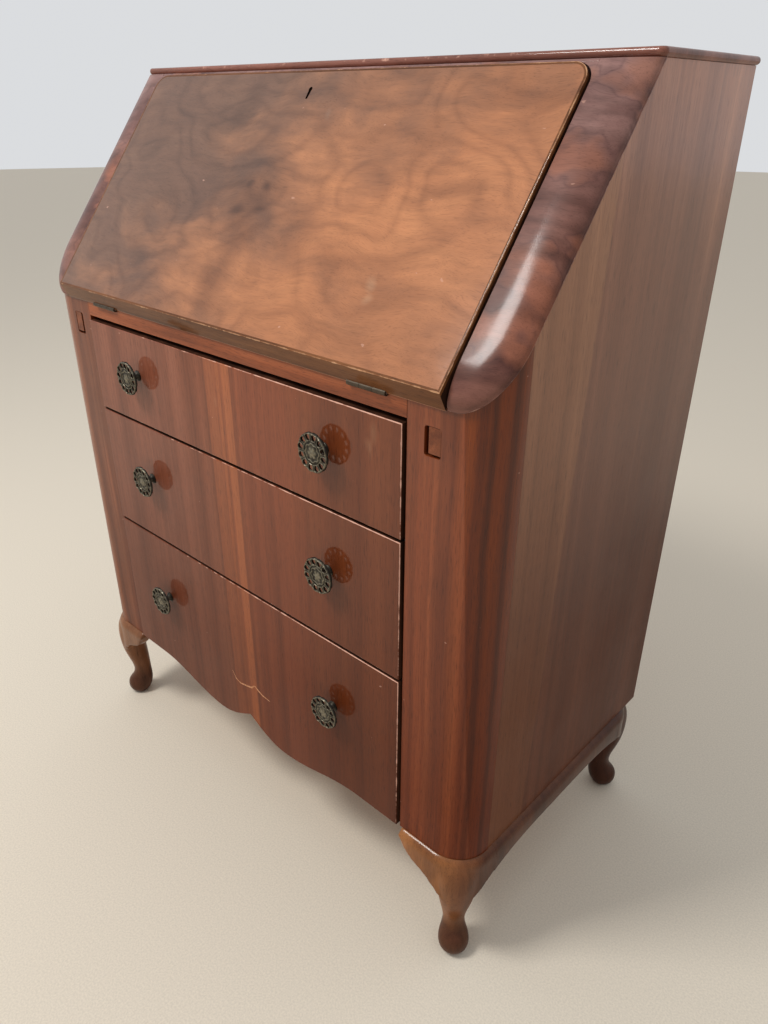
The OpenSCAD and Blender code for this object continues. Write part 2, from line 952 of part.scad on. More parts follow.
top_board();
side_panel(-1);  // side_panel_left
side_panel(1);  // side_panel_right
stile(-1);  // stile_left
stile(1);  // stile_right
slope_border(-1);  // slope_border_left
slope_border(1);  // slope_border_right
slope_top_rail();
fall_stop(-1);  // fall_stop_left
fall_stop(1);  // fall_stop_right
front_rail();
writing_board();
back_panel();
bottom_board();
drawer_rail(0);  // drawer_rail_upper
drawer_rail(1);  // drawer_rail_lower
drawer_guide(-1);  // drawer_guide_left
drawer_guide(1);  // drawer_guide_right
drawer_runners(0);  // drawer_runners_upper
drawer_runners(1);  // drawer_runners_lower
loper_guide(-1);  // loper_guide_left
loper_guide(1);  // loper_guide_right
pigeonhole_shelf();
pigeonhole_divider(1);  // pigeonhole_divider_1
pigeonhole_divider(2);  // pigeonhole_divider_2
pigeonhole_divider(3);  // pigeonhole_divider_3
pigeonhole_divider(4);  // pigeonhole_divider_4
base_rail(-1);  // base_rail_left
base_rail(1);  // base_rail_right
base_rail_back();
leg(-1, true);  // leg_front_left
leg(1, true);  // leg_front_right
leg(-1, false);  // leg_rear_left
leg(1, false);  // leg_rear_right
fall_board();
hinge_bed_leaves();
hinge_pins();
hinge_fall_leaves();
hinge_screws_bed();
hinge_screws_fall();
lock_case();
lock_bolt();
lock_strike();
loper(-1);  // loper_left
loper(1);  // loper_right
drawer_front(0);  // drawer_1_front
drawer_sides(0);  // drawer_1_sides
drawer_back(0);  // drawer_1_back
drawer_bottom(0);  // drawer_1_bottom
drawer_knobs(0);  // drawer_1_knobs
drawer_front(1);  // drawer_2_front
drawer_sides(1);  // drawer_2_sides
drawer_back(1);  // drawer_2_back
drawer_bottom(1);  // drawer_2_bottom
drawer_knobs(1);  // drawer_2_knobs
drawer_front(2);  // drawer_3_front
drawer_sides(2);  // drawer_3_sides
drawer_back(2);  // drawer_3_back
drawer_bottom(2);  // drawer_3_bottom
drawer_knobs(2);  // drawer_3_knobs
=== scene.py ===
"""Slant-front secretary desk: figured walnut veneer under gloss lacquer, pierced brass rosettes, cabriole legs.

The CAD model is the frame. Pieces with fine shape replace CAD nodes; the flat boards keep the CAD
mesh and get bevelled edges and materials. Lengths named here are design millimetres, as in the CAD.
"""
import math
import random

import bmesh
import bpy
from mathutils import Matrix, Vector


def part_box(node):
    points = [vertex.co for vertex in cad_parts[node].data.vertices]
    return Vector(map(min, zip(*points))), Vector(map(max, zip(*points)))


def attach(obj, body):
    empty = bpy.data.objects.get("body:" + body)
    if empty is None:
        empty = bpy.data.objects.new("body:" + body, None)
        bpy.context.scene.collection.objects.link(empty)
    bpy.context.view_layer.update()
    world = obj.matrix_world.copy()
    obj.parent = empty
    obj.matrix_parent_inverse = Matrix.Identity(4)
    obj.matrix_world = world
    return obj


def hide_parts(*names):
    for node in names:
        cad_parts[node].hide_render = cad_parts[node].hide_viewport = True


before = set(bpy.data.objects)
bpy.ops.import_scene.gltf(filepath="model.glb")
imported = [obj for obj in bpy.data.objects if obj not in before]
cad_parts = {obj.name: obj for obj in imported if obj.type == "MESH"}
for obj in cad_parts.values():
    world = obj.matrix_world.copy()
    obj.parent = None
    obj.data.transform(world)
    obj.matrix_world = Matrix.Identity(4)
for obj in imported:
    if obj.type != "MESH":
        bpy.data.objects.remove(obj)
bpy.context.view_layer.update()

MM = 0.001
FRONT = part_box("front_rail")[0]
ORIGIN_Y = FRONT.y
HALF_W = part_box("side_panel_right")[1].x / MM
DEPTH = (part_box("side_panel_right")[1].y - ORIGIN_Y) / MM
CARCASS_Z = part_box("side_panel_right")[0].z / MM
TOP_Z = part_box("top_board")[0].z / MM
DESK_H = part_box("top_board")[1].z / MM
AXIS_Y = -2.0
AXIS_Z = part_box("front_rail")[1].z / MM
SLOPE = math.radians(52)
SIN, COS = math.sin(SLOPE), math.cos(SLOPE)
CORNER_R = 45.0
FALL_T = 19.5
FALL_BEVEL = 8.6
BASE_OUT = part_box("base_rail_right")[1].x / MM - HALF_W

SIDES = ((-1, "left"), (1, "right"))

random.seed(7)


# --- places

def place(x, y, z):
    """A design point in the frame's metres."""
    return Vector((x * MM, ORIGIN_Y + y * MM, z * MM))


def slope_yz(s, n):
    """[y, z] of the point s up the slope and n over the fall's inner plane."""
    return AXIS_Y + s * COS - n * SIN, AXIS_Z + s * SIN + n * COS


def on_slope(x, s, n):
    return place(x, *slope_yz(s, n))


# --- meshes

SHARP_ANGLE = 35


def add_object(name, verts, faces):
    """Links a mesh object whose faces all point outwards."""
    mesh = bpy.data.meshes.new(name)
    mesh.from_pydata([tuple(v) for v in verts], [], faces)
    bm = bmesh.new()
    bm.from_mesh(mesh)
    bmesh.ops.recalc_face_normals(bm, faces=bm.faces)
    bm.to_mesh(mesh)
    bm.free()
    piece = bpy.data.objects.new(name, mesh)
    bpy.context.scene.collection.objects.link(piece)
    return piece


def add_piece(name, verts, faces, body, slot, materials, smooth_angle=SHARP_ANGLE, face_material=None):
    """A mesh piece that rides on a body and wears the given materials."""
    piece = add_object(name, verts, faces)
    mesh = piece.data
    for material in materials:
        mesh.materials.append(material)
    if face_material:
        for polygon, index in zip(mesh.polygons, face_material):
            polygon.material_index = index
    mesh.shade_smooth()
    mesh.set_sharp_from_angle(angle=math.radians(smooth_angle))
    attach(piece, body)
    return piece


def weight_normals(piece):
    modifier = piece.modifiers.new("even_normals", "WEIGHTED_NORMAL")
    modifier.keep_sharp = True
    modifier.weight = 80


def loft(rings, ring_closed=True, caps=True, around=False):
    """Vertices and faces of a surface through rings of equally many points."""
    count = len(rings[0])
    verts = [p for ring in rings for p in ring]
    faces = []
    spans = len(rings) if around else len(rings) - 1
    steps = count if ring_closed else count - 1
    for j in range(spans):
        a, b = j * count, (j + 1) % len(rings) * count
        for k in range(steps):
            m = (k + 1) % count
            faces.append((a + k, a + m, b + m, b + k))
    if caps and not around:
        faces.append(tuple(range(count)))
        faces.append(tuple(range((len(rings) - 1) * count, len(rings) * count)))
    return verts, faces


def set_values(piece, name, values):
    """Stores one number at each vertex, for the material to read."""
    piece.data.attributes.new(name, "FLOAT", "POINT").data.foreach_set("value", values)


def polar(r, a):
    return r * math.cos(a), r * math.sin(a)


def circle(r, count):
    return [polar(r, 2 * math.pi * k / count) for k in range(count)]


def arc(cx, cy, r, a0, a1, steps):
    """Points on a circle from angle a0 to a1, in degrees."""
    return [(cx + r * math.cos(math.radians(a0 + (a1 - a0) * k / steps)),
             cy + r * math.sin(math.radians(a0 + (a1 - a0) * k / steps))) for k in range(steps + 1)]


def inset(outline, d):
    """A closed counter-clockwise outline moved inwards by d."""
    moved = []
    for k, (x, y) in enumerate(outline):
        px, py = outline[k - 1]
        qx, qy = outline[(k + 1) % len(outline)]
        ax, ay = x - px, y - py
        bx, by = qx - x, qy - y
        la, lb = math.hypot(ax, ay), math.hypot(bx, by)
        nx, ny = -ay / la - by / lb, ax / la + bx / lb
        length = math.hypot(nx, ny)
        nx, ny = nx / length, ny / length
        reach = max(0.5, (-ay * nx + ax * ny) / la)
        moved.append((x + nx * d / reach, y + ny * d / reach))
    return moved


def quarter(r, steps):
    """Inset and drop of a quarter-round edge, from the side to the face."""
    return [(r * (1 - math.cos(math.pi / 2 * k / steps)), r * (1 - math.sin(math.pi / 2 * k / steps)))
            for k in range(steps + 1)]


def smooth_step(t):
    t = min(1.0, max(0.0, t))
    return t * t * (3 - 2 * t)


def between(table, t):
    """Smooth value of a table of (t, value) at t."""
    for (t0, v0), (t1, v1) in zip(table, table[1:]):
        if t <= t1:
            return v0 + (v1 - v0) * smooth_step((t - t0) / (t1 - t0))
    return table[-1][1]


# --- materials

def tone(r, g, b):
    """A display colour, 0 to 255, as the linear colour of a shader."""
    return tuple(((c / 255 + 0.055) / 1.055) ** 2.4 if c > 10 else c / 255 / 12.92
                 for c in (r, g, b)) + (1.0,)


class Graph:
    """A node material in the making."""

    def __init__(self, name):
        self.material = bpy.data.materials.new(name)
        self.material.use_nodes = True
        self.tree = self.material.node_tree
        self.tree.nodes.clear()
        self.shader = self.node("BsdfPrincipled", {})
        self.node("OutputMaterial", {"Surface": self.shader.outputs[0]})
        self.object_space = self.node("TexCoord", {}).outputs["Object"]

    def feed(self, node, inputs):
        """Links or sets the node's inputs, given as a table of socket to source or value."""
        for socket, value in inputs.items():
            if isinstance(value, bpy.types.NodeSocket):
                self.tree.links.new(value, node.inputs[socket])
            else:
                node.inputs[socket].default_value = value

    def node(self, kind, inputs, **settings):
        node = self.tree.nodes.new("ShaderNode" + kind)
        for name, value in settings.items():
            setattr(node, name, value)
        self.feed(node, inputs)
        return node

    def turned(self, vector, angles):
        """The vector in axes turned by angles, in degrees."""
        return self.node("Mapping", {"Vector": vector, "Rotation": [math.radians(a) for a in angles]}).outputs[0]

    def stretched(self, vector, scale, shift=(0, 0, 0)):
        return self.node("Mapping", {"Vector": vector, "Scale": scale, "Location": shift}).outputs[0]

    def noise(self, vector, detail=3.0, roughness=0.5, distortion=0.0, color=False):
        node = self.node("TexNoise", {"Vector": vector, "Scale": 1.0, "Detail": detail,
                                      "Roughness": roughness, "Distortion": distortion})
        return node.outputs["Color" if color else "Fac"]

    def wave(self, vector, distortion):
        return self.node("TexWave", {"Vector": vector, "Scale": 1.0, "Distortion": distortion,
                                     "Detail": 3.0, "Detail Scale": 1.4}, bands_direction="Y").outputs["Fac"]

    def math(self, operation, a, b=0.0, clamp=False):
        return self.node("Math", {0: a, 1: b}, operation=operation, use_clamp=clamp).outputs[0]

    def shifted(self, vector, by, amount):
        """The vector moved by a colour's distance from grey, times amount on each axis."""
        centre = self.node("VectorMath", {0: by, 1: (0.5, 0.5, 0.5)}, operation="SUBTRACT").outputs[0]
        return self.node("VectorMath", {0: centre, 1: amount, 2: vector}, operation="MULTIPLY_ADD").outputs[0]

    def along(self, vector, direction):
        return self.node("VectorMath", {0: vector, 1: direction}, operation="DOT_PRODUCT").outputs["Value"]

    def length(self, vector):
        return self.node("VectorMath", {0: vector}, operation="LENGTH").outputs["Value"]

    def ramp(self, factor, stops):
        node = self.node("ValToRGB", {0: factor})
        elements = node.color_ramp.elements
        while len(elements) < len(stops):
            elements.new(0.5)
        for element, (position, color) in zip(elements, stops):
            element.position = position
            element.color = color if isinstance(color, tuple) else (color, color, color, 1)
        return node.outputs[0]

    def mix(self, factor, a, b, blend="MIX"):
        return self.node("Mix", {0: factor, 6: a, 7: b}, data_type="RGBA", blend_type=blend).outputs[2]

    def washed(self, factor, color, wash, base=None):
        """The colour, and where factor is 1 the base, or else the colour itself, multiplied by a wash."""
        toned = self.mix(1.0, color if base is None else base, (*wash[:3], 1.0), "MULTIPLY")
        return self.mix(factor, color, toned)

    def spread(self, value, low, high, to_low=0.0, to_high=1.0):
        return self.node("MapRange", {"Value": value, "From Min": low, "From Max": high,
                                      "To Min": to_low, "To Max": to_high}, clamp=True).outputs[0]

    def attribute(self, name):
        return self.node("Attribute", {}, attribute_name=name).outputs["Fac"]

    def bump(self, height, distance, strength):
        return self.node("Bump", {"Height": height, "Distance": distance, "Strength": strength}).outputs[0]


GRAIN_ALONG_X = (0, 0, 0)
GRAIN_ALONG_Z = (0, 90, 0)
GRAIN_ALONG_Y = (0, 0, 90)
GRAIN_ACROSS_SLOPE = (-52, 0, 0)


FLAME_TONE, RING_TONE, PORE_TONE = tone(150, 132, 124), tone(126, 112, 104), tone(120, 105, 95)


def wood(name, grain, dark, mid, light, figure=(2.2, 26, 26), waviness=0.012, warp=(5, 9, 9),
         contrast=(0.34, 0.5, 0.66), streaks=0.35, pores=0.45, lines=0.0, line_pitch=0.006,
         patches=None, patch_scale=(2.5, 5, 5), patch_share=(0.5, 0.75), patch_rim=0.0, zones=(), fade=None,
         flames=None, smudges=(), ripple=0.0, roughness=(0.34, 0.5), coat=0.6, coat_low=None,
         coat_roughness=0.08, relief=0.00012, seed=0.0, worn=None):
    """Lacquered wood with its grain turned along one axis.

    dark, mid, light: the figure's display colours; contrast: where they stand in its noise
    figure: how often it changes along and across the grain, per metre
    waviness, warp: how far and how often the grain wanders
    lines, line_pitch: strength of the growth rings, and metres between them
    patches: a colour that comes and goes; patch_rim darkens its outline
    zones: (direction, edge, width, wash) beyond an edge on the object; some are veneer tone, some painted shade
    and painted sheen
    fade: (high z, low z, wash) of a tone that deepens downwards, a painted shade
    flames: (scale, count, strength) of nested curved lines
    smudges: (centre, half sizes, strength, wash) of spots in the grain's own axes: marks in the wood, and painted
    shade round the loper mouths
    ripple: strength of short bands across the grain
    coat_low: (high z, low z, weight) of lacquer that is duller low down
    worn: the colour of rubbed edges and nicks"""
    g = Graph(name)
    grain_space = g.turned(g.object_space, grain)
    space = g.stretched(grain_space, (1, 1, 1), (seed, seed * 0.7, seed * 1.3))
    drift = g.noise(g.stretched(space, warp), detail=2, color=True)
    waved = g.shifted(space, drift, (0, waviness, waviness))
    bands = g.noise(g.stretched(waved, figure), detail=5, roughness=0.55, distortion=0.15)
    color = g.ramp(bands, [(share, tone(*shade)) for share, shade in zip(contrast, (dark, mid, light))])
    if patches:
        share = g.noise(g.stretched(waved, patch_scale), detail=3, roughness=0.6)
        color = g.mix(g.spread(share, *patch_share), color, patches)
        if patch_rim:
            rim = g.math("ABSOLUTE", g.math("SUBTRACT", share, patch_share[0]))
            color = g.mix(g.spread(rim, 0.0, 0.02, patch_rim, 0.0), color, tone(*dark))
    if flames:
        scale, count, strength = flames
        field = g.noise(g.stretched(waved, scale), detail=2, roughness=0.45)
        crest = g.math("PINGPONG", g.math("MULTIPLY", field, count), 1.0)
        color = g.washed(g.spread(crest, 0.0, 0.6, strength, 0.0), color, FLAME_TONE)
    spot_space = g.shifted(grain_space, drift, (waviness, waviness, waviness))
    for centre, halves, strength, wash in smudges:
        shift = [-c / h for c, h in zip(centre, halves)]
        reach = g.length(g.stretched(spot_space, [1 / h for h in halves], shift))
        color = g.washed(g.spread(reach, 0.25, 1.0, strength, 0.0), color, wash)
    figured = color
    for direction, edge, width, wash in zones:
        wobble = g.math("MULTIPLY", g.math("SUBTRACT", bands, 0.5), width * 1.5)
        far = g.math("ADD", g.along(g.object_space, direction), wobble)
        color = g.washed(g.spread(far, edge - width / 2, edge + width / 2), color, wash, figured)
    up = g.along(g.object_space, (0, 0, 1))
    if fade:
        color = g.washed(g.spread(up, fade[1], fade[0], 1.0, 0.0), color, fade[2])
    if ripple:
        curl = g.noise(g.stretched(waved, (14, 150, 150)), detail=2, roughness=0.5, distortion=0.4)
        color = g.mix(ripple, color, g.ramp(curl, [(0.35, 0.8), (0.5, 1.0), (0.65, 1.16)]), "MULTIPLY")
    if lines:
        across = 1 / line_pitch / 6.3
        rings = g.wave(g.stretched(waved, (0.6, across, across)), 2.5)
        color = g.washed(g.math("MULTIPLY", g.spread(rings, 0.55, 1.0), lines), color, RING_TONE)
    fine = g.noise(g.stretched(waved, [f * much for f, much in zip(figure, (2.5, 9, 9))]), detail=4, roughness=0.6)
    color = g.mix(streaks, color, g.ramp(fine, [(0.3, 0.52), (0.5, 0.95), (0.7, 1.25)]), "MULTIPLY")
    pore_mask = g.spread(g.noise(g.stretched(waved, (70, 1500, 1500)), detail=1), 0.56, 0.7)
    color = g.washed(g.math("MULTIPLY", pore_mask, pores), color, PORE_TONE)
    rough = g.spread(g.noise(g.stretched(g.object_space, (9, 9, 9)), detail=4), 0.3, 0.7, *roughness)
    if worn:
        flecks = g.noise(g.stretched(g.object_space, (90, 90, 90)), detail=3, roughness=0.65)
        exposed = g.math("ADD", g.attribute("wear"), g.math("MULTIPLY", g.math("SUBTRACT", flecks, 0.5), 1.6))
        nicks = g.noise(g.stretched(g.object_space, (85, 85, 150)), detail=1)
        rubbed = g.math("MAXIMUM", g.spread(exposed, 0.45, 0.8), g.spread(nicks, 0.795, 0.815, 0.0, 0.35))
        color = g.mix(rubbed, color, worn)
        rough = g.math("ADD", rough, g.math("MULTIPLY", rubbed, 0.3))
    height = g.math("SUBTRACT", g.math("MULTIPLY", fine, 0.5), g.math("MULTIPLY", pore_mask, 0.5))
    lacquer = g.noise(g.stretched(g.object_space, (16, 16, 16)), detail=2)
    g.feed(g.shader, {"Base Color": color, "Roughness": rough, "Normal": g.bump(height, relief, 0.6),
                      "Coat Normal": g.bump(lacquer, 0.0009, 0.35), "Coat Weight": coat,
                      "Coat Roughness": coat_roughness, "Specular IOR Level": 0.05})
    if coat_low:
        g.feed(g.shader, {"Coat Weight": g.spread(up, coat_low[1], coat_low[0], coat_low[2], coat)})
    return g.material


def metal(name, clean, grimy):
    """Old metal: clean on the ridges and grimy in the hollows, where the piece stores them."""
    g = Graph(name)
    blotches = g.noise(g.stretched(g.object_space, (180, 180, 180)), detail=4, roughness=0.6)
    grime = g.math("ADD", g.attribute("grime"), g.spread(blotches, 0.35, 0.75, 0.0, 0.55), clamp=True)
    g.feed(g.shader, {"Base Color": g.mix(grime, clean, grimy), "Metallic": 0.7,
                      "Roughness": g.spread(blotches, 0.3, 0.7, 0.32, 0.55),
                      "Normal": g.bump(blotches, 0.0001, 0.5)})
    return g.material


def plain(name, color, roughness):
    g = Graph(name)
    grain = g.noise(g.stretched(g.object_space, (420, 420, 420)), detail=3)
    g.feed(g.shader, {"Base Color": g.washed(g.spread(grain, 0.3, 0.7), color, tone(238, 238, 238)),
                      "Roughness": roughness})
    return g.material


DARK_WASH = (0.2, 0.13, 0.11)
PALE_WASH = (1.25, 1.75, 2.3)
FAR = 1000.0
LEFT, RIGHT = (-1, 0, 0), (1, 0, 0)


def on_fall_grain(x, s, half_w, half_h, strength, wash=DARK_WASH):
    """A smudge on the fall, from millimetres across and up the slope."""
    middle = on_slope(x, s, FALL_T)
    return (middle.x, middle.y * COS + middle.z * SIN, 0), (half_w * MM, half_h * MM, FAR), strength, wash


def on_drawer_grain(x, z, half_w, half_h, strength, wash=PALE_WASH):
    """A smudge on the drawer fronts, whose grain space is turned a quarter about Y."""
    return (z * MM, 0, -x * MM), (half_h * MM, FAR, half_w * MM), strength, wash


FALL_SMUDGES = [on_fall_grain(*spot) for spot in (
    (-30, 153, 13, 9, 0.5), (0, 153, 12, 8, 0.42), (1, 178, 9, 6, 0.55), (-22, 176, 7, 5, 0.42),
    (-14, 162, 44, 34, 0.24), (-20, 118, 30, 44, 0.34), (-24, 62, 34, 50, 0.4), (-150, 268, 46, 38, 0.3),
    (-108, 288, 28, 46, 0.28), (250, 192, 52, 11, 0.35), (205, 179, 24, 9, 0.25), (285, 294, 90, 18, 0.35),
    (-250, 255, 90, 70, 0.2), (20, 200, 100, 10, 0.18), (130, 105, 46, 30, 0.16),
    (195, 94, 9, 11, 0.5, PALE_WASH), (199, 79, 8, 7, 0.45, PALE_WASH), (39, 270, 5, 9, 0.3, PALE_WASH))]
DRAWER_MARKS = [on_drawer_grain(*spot) for spot in (
    (245, 670, 6, 15, 0.85), (238, 657, 7, 9, 0.7), (241, 650, 4, 12, 0.5), (-8, 640, 4, 8, 0.3))]
# Painted shade: the stile is darkened round each loper mouth.
MOUTH_PAINTED_SHADE = [((0.679, ORIGIN_Y + 0.012, -side * 0.314), (0.06, 0.012, 0.06), 1.0, DARK_WASH)
               for side, _ in SIDES]
PALE_WOOD = tone(222, 172, 150)
# Stripes of the drawer veneer beside its middle joint: left edge, softness of that edge, wash; the last, broad one
# is painted shade that darkens the right ends
DRAWER_STRIPES_AND_SHADE = ((-0.03, 0.002, (0.86, 0.84, 0.82)), (-0.026, 0.002, (1.24, 1.22, 1.05)),
                  (-0.003, 0.002, (1.5, 1.5, 1.2)), (0.002, 0.002, (1.28, 1.24, 1.05)),
                  (0.008, 0.002, (1.52, 1.52, 1.22)), (0.022, 0.002, (0.86, 0.76, 0.64)),
                  (0.028, 0.003, (1.05, 0.92, 0.78)), (0.14, 0.1, (0.68, 0.58, 0.42)))
# On the drawers the zone to the left, paler and greyer, is a painted sheen, and the fade downwards is painted
# shade.
drawer_wood = wood(
    "walnut_drawer", GRAIN_ALONG_Z, (126, 66, 42), (144, 79, 52), (160, 92, 62),
    figure=(0.7, 30, 30), waviness=0.008, contrast=(0.28, 0.5, 0.72), streaks=0.34, lines=0.16,
    line_pitch=0.011, seed=3.1, worn=PALE_WOOD, smudges=DRAWER_MARKS,
    zones=[(LEFT, 0.08, 0.1, (1.02, 1.16, 1.45))] + [(RIGHT, *stripe) for stripe in DRAWER_STRIPES_AND_SHADE],
    fade=(0.66, 0.25, (0.58, 0.5, 0.42)), coat=0.85, coat_low=(0.68, 0.3, 0.3))
# The fall's zone lightens it towards the lower right: a painted sheen.
fall_wood = wood(
    "walnut_fall", GRAIN_ACROSS_SLOPE, (103, 73, 58), (116, 82, 63), (127, 92, 71),
    figure=(8, 14, 14), waviness=0.06, warp=(7, 9, 9), contrast=(0.28, 0.5, 0.72), coat_roughness=0.1,
    patches=tone(108, 77, 60), patch_scale=(5, 8, 8), patch_share=(0.52, 0.78), seed=1.7,
    worn=PALE_WOOD, flames=((4.5, 6, 0), 24.0, 0.24), smudges=FALL_SMUDGES, pores=0.25,
    streaks=0.24, ripple=0.26, coat=0.8,
    zones=(((1, 0, -1), -0.85, 0.36, (2.5, 2.0, 1.38)),))
lip_wood = wood(
    "walnut_lip", GRAIN_ALONG_X, (92, 54, 28), (112, 68, 37), (132, 84, 48),
    figure=(4, 60, 60), streaks=0.3, coat=0.3, seed=5.5, worn=tone(216, 168, 126))
# The border's zone near the top, paler and greyer, is a painted reflection.
border_wood = wood(
    "walnut_border", GRAIN_ACROSS_SLOPE, (94, 58, 51), (120, 79, 68), (139, 94, 80),
    figure=(9, 16, 16), waviness=0.04, warp=(9, 11, 11), patches=tone(150, 94, 73), pores=0.3,
    patch_scale=(11, 15, 15), patch_share=(0.5, 0.6), patch_rim=0.4, lines=0.2, line_pitch=0.014,
    seed=9.2, flames=((9, 11, 11), 8.0, 0.35), coat=0.36, coat_roughness=0.15, worn=PALE_WOOD,
    zones=(((0, 0, 1), 0.91, 0.14, (1.12, 1.4, 1.7)),))
top_wood = wood(
    "walnut_top", GRAIN_ALONG_X, (100, 60, 50), (128, 80, 66), (152, 98, 82),
    figure=(2, 24, 24), seed=4.4, worn=PALE_WOOD)
# Painted shade on the outer part of the stiles' curved corners: darker and more orange, in place of a darker
# reflection there.
CURVE_PAINTED_SHADE = (0.7, 0.5, 0.05)
# The stile's fade downwards is painted shade.
stile_wood = wood(
    "walnut_stile", GRAIN_ALONG_Z, (114, 52, 26), (139, 69, 37), (161, 86, 49),
    figure=(0.6, 42, 42), lines=0.45, line_pitch=0.009, streaks=0.45, seed=6.3, worn=PALE_WOOD,
    smudges=MOUTH_PAINTED_SHADE,
    zones=((LEFT, 0.3, 0.03, (1.03, 1.4, 2.1)), ((1, 0, 0.05), 0.3827, 0.0015, CURVE_PAINTED_SHADE),
           ((-1, 0, 0.05), 0.3827, 0.0015, CURVE_PAINTED_SHADE)),
    fade=(0.7, 0.2, (0.66, 0.54, 0.4)), coat=0.9, coat_low=(0.66, 0.25, 0.25))
SIDE_SEAM_Y = ORIGIN_Y + 0.104
# On the side the zone at the rear top is a painted sheen and the fade downwards is painted shade; the seam zone is
# the veneer's own tone.
side_wood = wood(
    "walnut_side", GRAIN_ALONG_Z, (154, 103, 73), (174, 119, 86), (192, 135, 99),
    figure=(0.4, 34, 34), waviness=0.006, contrast=(0.3, 0.5, 0.7), lines=0.06, line_pitch=0.019,
    seed=8.8, streaks=0.22, coat=1.0, coat_low=(0.85, 0.35, 0.2), coat_roughness=0.2,
    zones=(((0, 1, -0.058), SIDE_SEAM_Y, 0.004, (0.74, 0.67, 0.74)),
           ((0, 0.4, 1), 0.95, 0.16, (1.12, 1.08, 1.14))),
    fade=(0.97, 0.48, (0.36, 0.26, 0.2)))
rail_wood = wood(
    "walnut_rail", GRAIN_ALONG_X, (126, 64, 36), (152, 80, 46), (174, 98, 60),
    figure=(2, 60, 60), seed=2.2)
loper_wood = wood(
    "walnut_loper", GRAIN_ALONG_Y, (104, 52, 30), (124, 66, 38), (140, 78, 48),
    figure=(2, 60, 60), seed=2.9)
# The base's zones towards the right side and towards the back are painted shade on the parts turned from the
# light.
base_wood = wood(
    "walnut_base", GRAIN_ALONG_Z, (133, 82, 45), (161, 103, 58), (181, 121, 71),
    figure=(6, 18, 18), waviness=0.03, lines=0.15, line_pitch=0.012, seed=7.7, coat_roughness=0.16,
    zones=((LEFT, 0.25, 0.05, (0.62, 0.62, 0.78)), (RIGHT, 0.362, 0.03, (0.5, 0.44, 0.5)),
           ((0, 0, -1), -0.052, 0.03, (0.26, 0.24, 0.36)), (RIGHT, 0.384, 0.006, (0.25, 0.18, 0.2)),
           ((0, 1, 0), 0.1, 0.1, (0.2, 0.16, 0.24))),
    coat=0.5, coat_low=(0.15, 0.09, 0.3))
inner_wood, box_wood = [
    wood(name, grain, (150, 108, 70), (178, 134, 90), (198, 156, 110), figure=(2, 40, 40), coat=0.15,
         coat_roughness=0.35, roughness=(0.5, 0.65), seed=seed)
    for name, grain, seed in (("inner_wood", GRAIN_ALONG_X, 0.6), ("drawer_box_wood", GRAIN_ALONG_Y, 0.8))]
BARE = {"figure": (2, 40, 40), "coat": 0.0, "roughness": (0.6, 0.75)}
# Painted shade: a dark wood for the drawer fronts' side walls and the lipping's sides, so the gaps beside them
# read dark.
gap_shade_wood = wood(
    "walnut_edge_painted_shade", GRAIN_ALONG_Z, (48, 29, 20), (66, 40, 28), (84, 52, 37),
    seed=1.1, **BARE)
# Painted shade: a near-black wood for the rails, guides and stops seen through the gaps, and for the keyhole's
# walls.
inner_shade_wood = wood(
    "inner_wood_painted_shade", GRAIN_ALONG_X, (30, 20, 15), (44, 30, 22), (58, 40, 29),
    seed=0.9, **BARE)
ply_wood = wood(
    "back_ply", GRAIN_ALONG_Z, (120, 82, 54), (146, 104, 70), (166, 124, 86),
    figure=(1.2, 14, 14), waviness=0.03, coat=0.0, roughness=(0.6, 0.75), seed=11.0)
scar_wood = wood(
    "bare_wood", GRAIN_ALONG_Z, (176, 118, 82), (196, 140, 104), (214, 160, 124),
    figure=(40, 400, 400), pores=0.2, streaks=0.15, coat=0.0, roughness=(0.6, 0.7), seed=12.0)
brass = metal("aged_brass", tone(140, 132, 112), tone(46, 42, 36))
hinge_brass = metal("hinge_brass", tone(88, 76, 62), tone(34, 28, 24))
steel = metal("steel", tone(150, 148, 144), tone(88, 82, 76))

NODE_FINISHES = (
    (side_wood, ("side_panel_left", "side_panel_right")),
    (border_wood, ("slope_top_rail",)),
    (rail_wood, ("front_rail",)),
    (base_wood, ("base_rail_back",)),
    (ply_wood, ("back_panel", "drawer_1_bottom", "drawer_2_bottom", "drawer_3_bottom")),
    (hinge_brass, ("hinge_bed_leaves", "hinge_fall_leaves", "lock_case", "lock_strike")),
    (box_wood, ["drawer_%d_sides" % i for i in (1, 2, 3)] + ["pigeonhole_divider_%d" % i for i in (1, 2, 3, 4)]
     + ["drawer_runners_upper", "drawer_runners_lower"]),
    (steel, ("hinge_pins", "hinge_screws_bed", "hinge_screws_fall", "lock_bolt")),
    # Painted shade: the rails, stops and guides behind the gaps are near black.
    (inner_shade_wood, ("drawer_rail_upper", "drawer_rail_lower", "fall_stop_left", "fall_stop_right",
                  "drawer_guide_left", "drawer_guide_right", "loper_guide_left", "loper_guide_right")),
)
finishes = {name: material for material, names in NODE_FINISHES for name in names}
for name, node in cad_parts.items():
    for material_slot in node.material_slots:
        material_slot.material = finishes.get(name, inner_wood)

EDGE_ROUNDING = 0.0007
WELD_REACH = 0.00001


def round_edges(piece):
    bevel = piece.modifiers.new("edges", "BEVEL")
    bevel.width = EDGE_ROUNDING
    bevel.segments = 2
    bevel.limit_method = "ANGLE"
    bevel.angle_limit = math.radians(40)
    bevel.harden_normals = True


for name in ("side_panel_left", "side_panel_right", "front_rail", "slope_top_rail", "writing_board",
             "pigeonhole_shelf", "back_panel", "base_rail_back"):
    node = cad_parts[name]
    node.modifiers.new("weld", "WELD").merge_threshold = WELD_REACH
    round_edges(node)


# --- top board

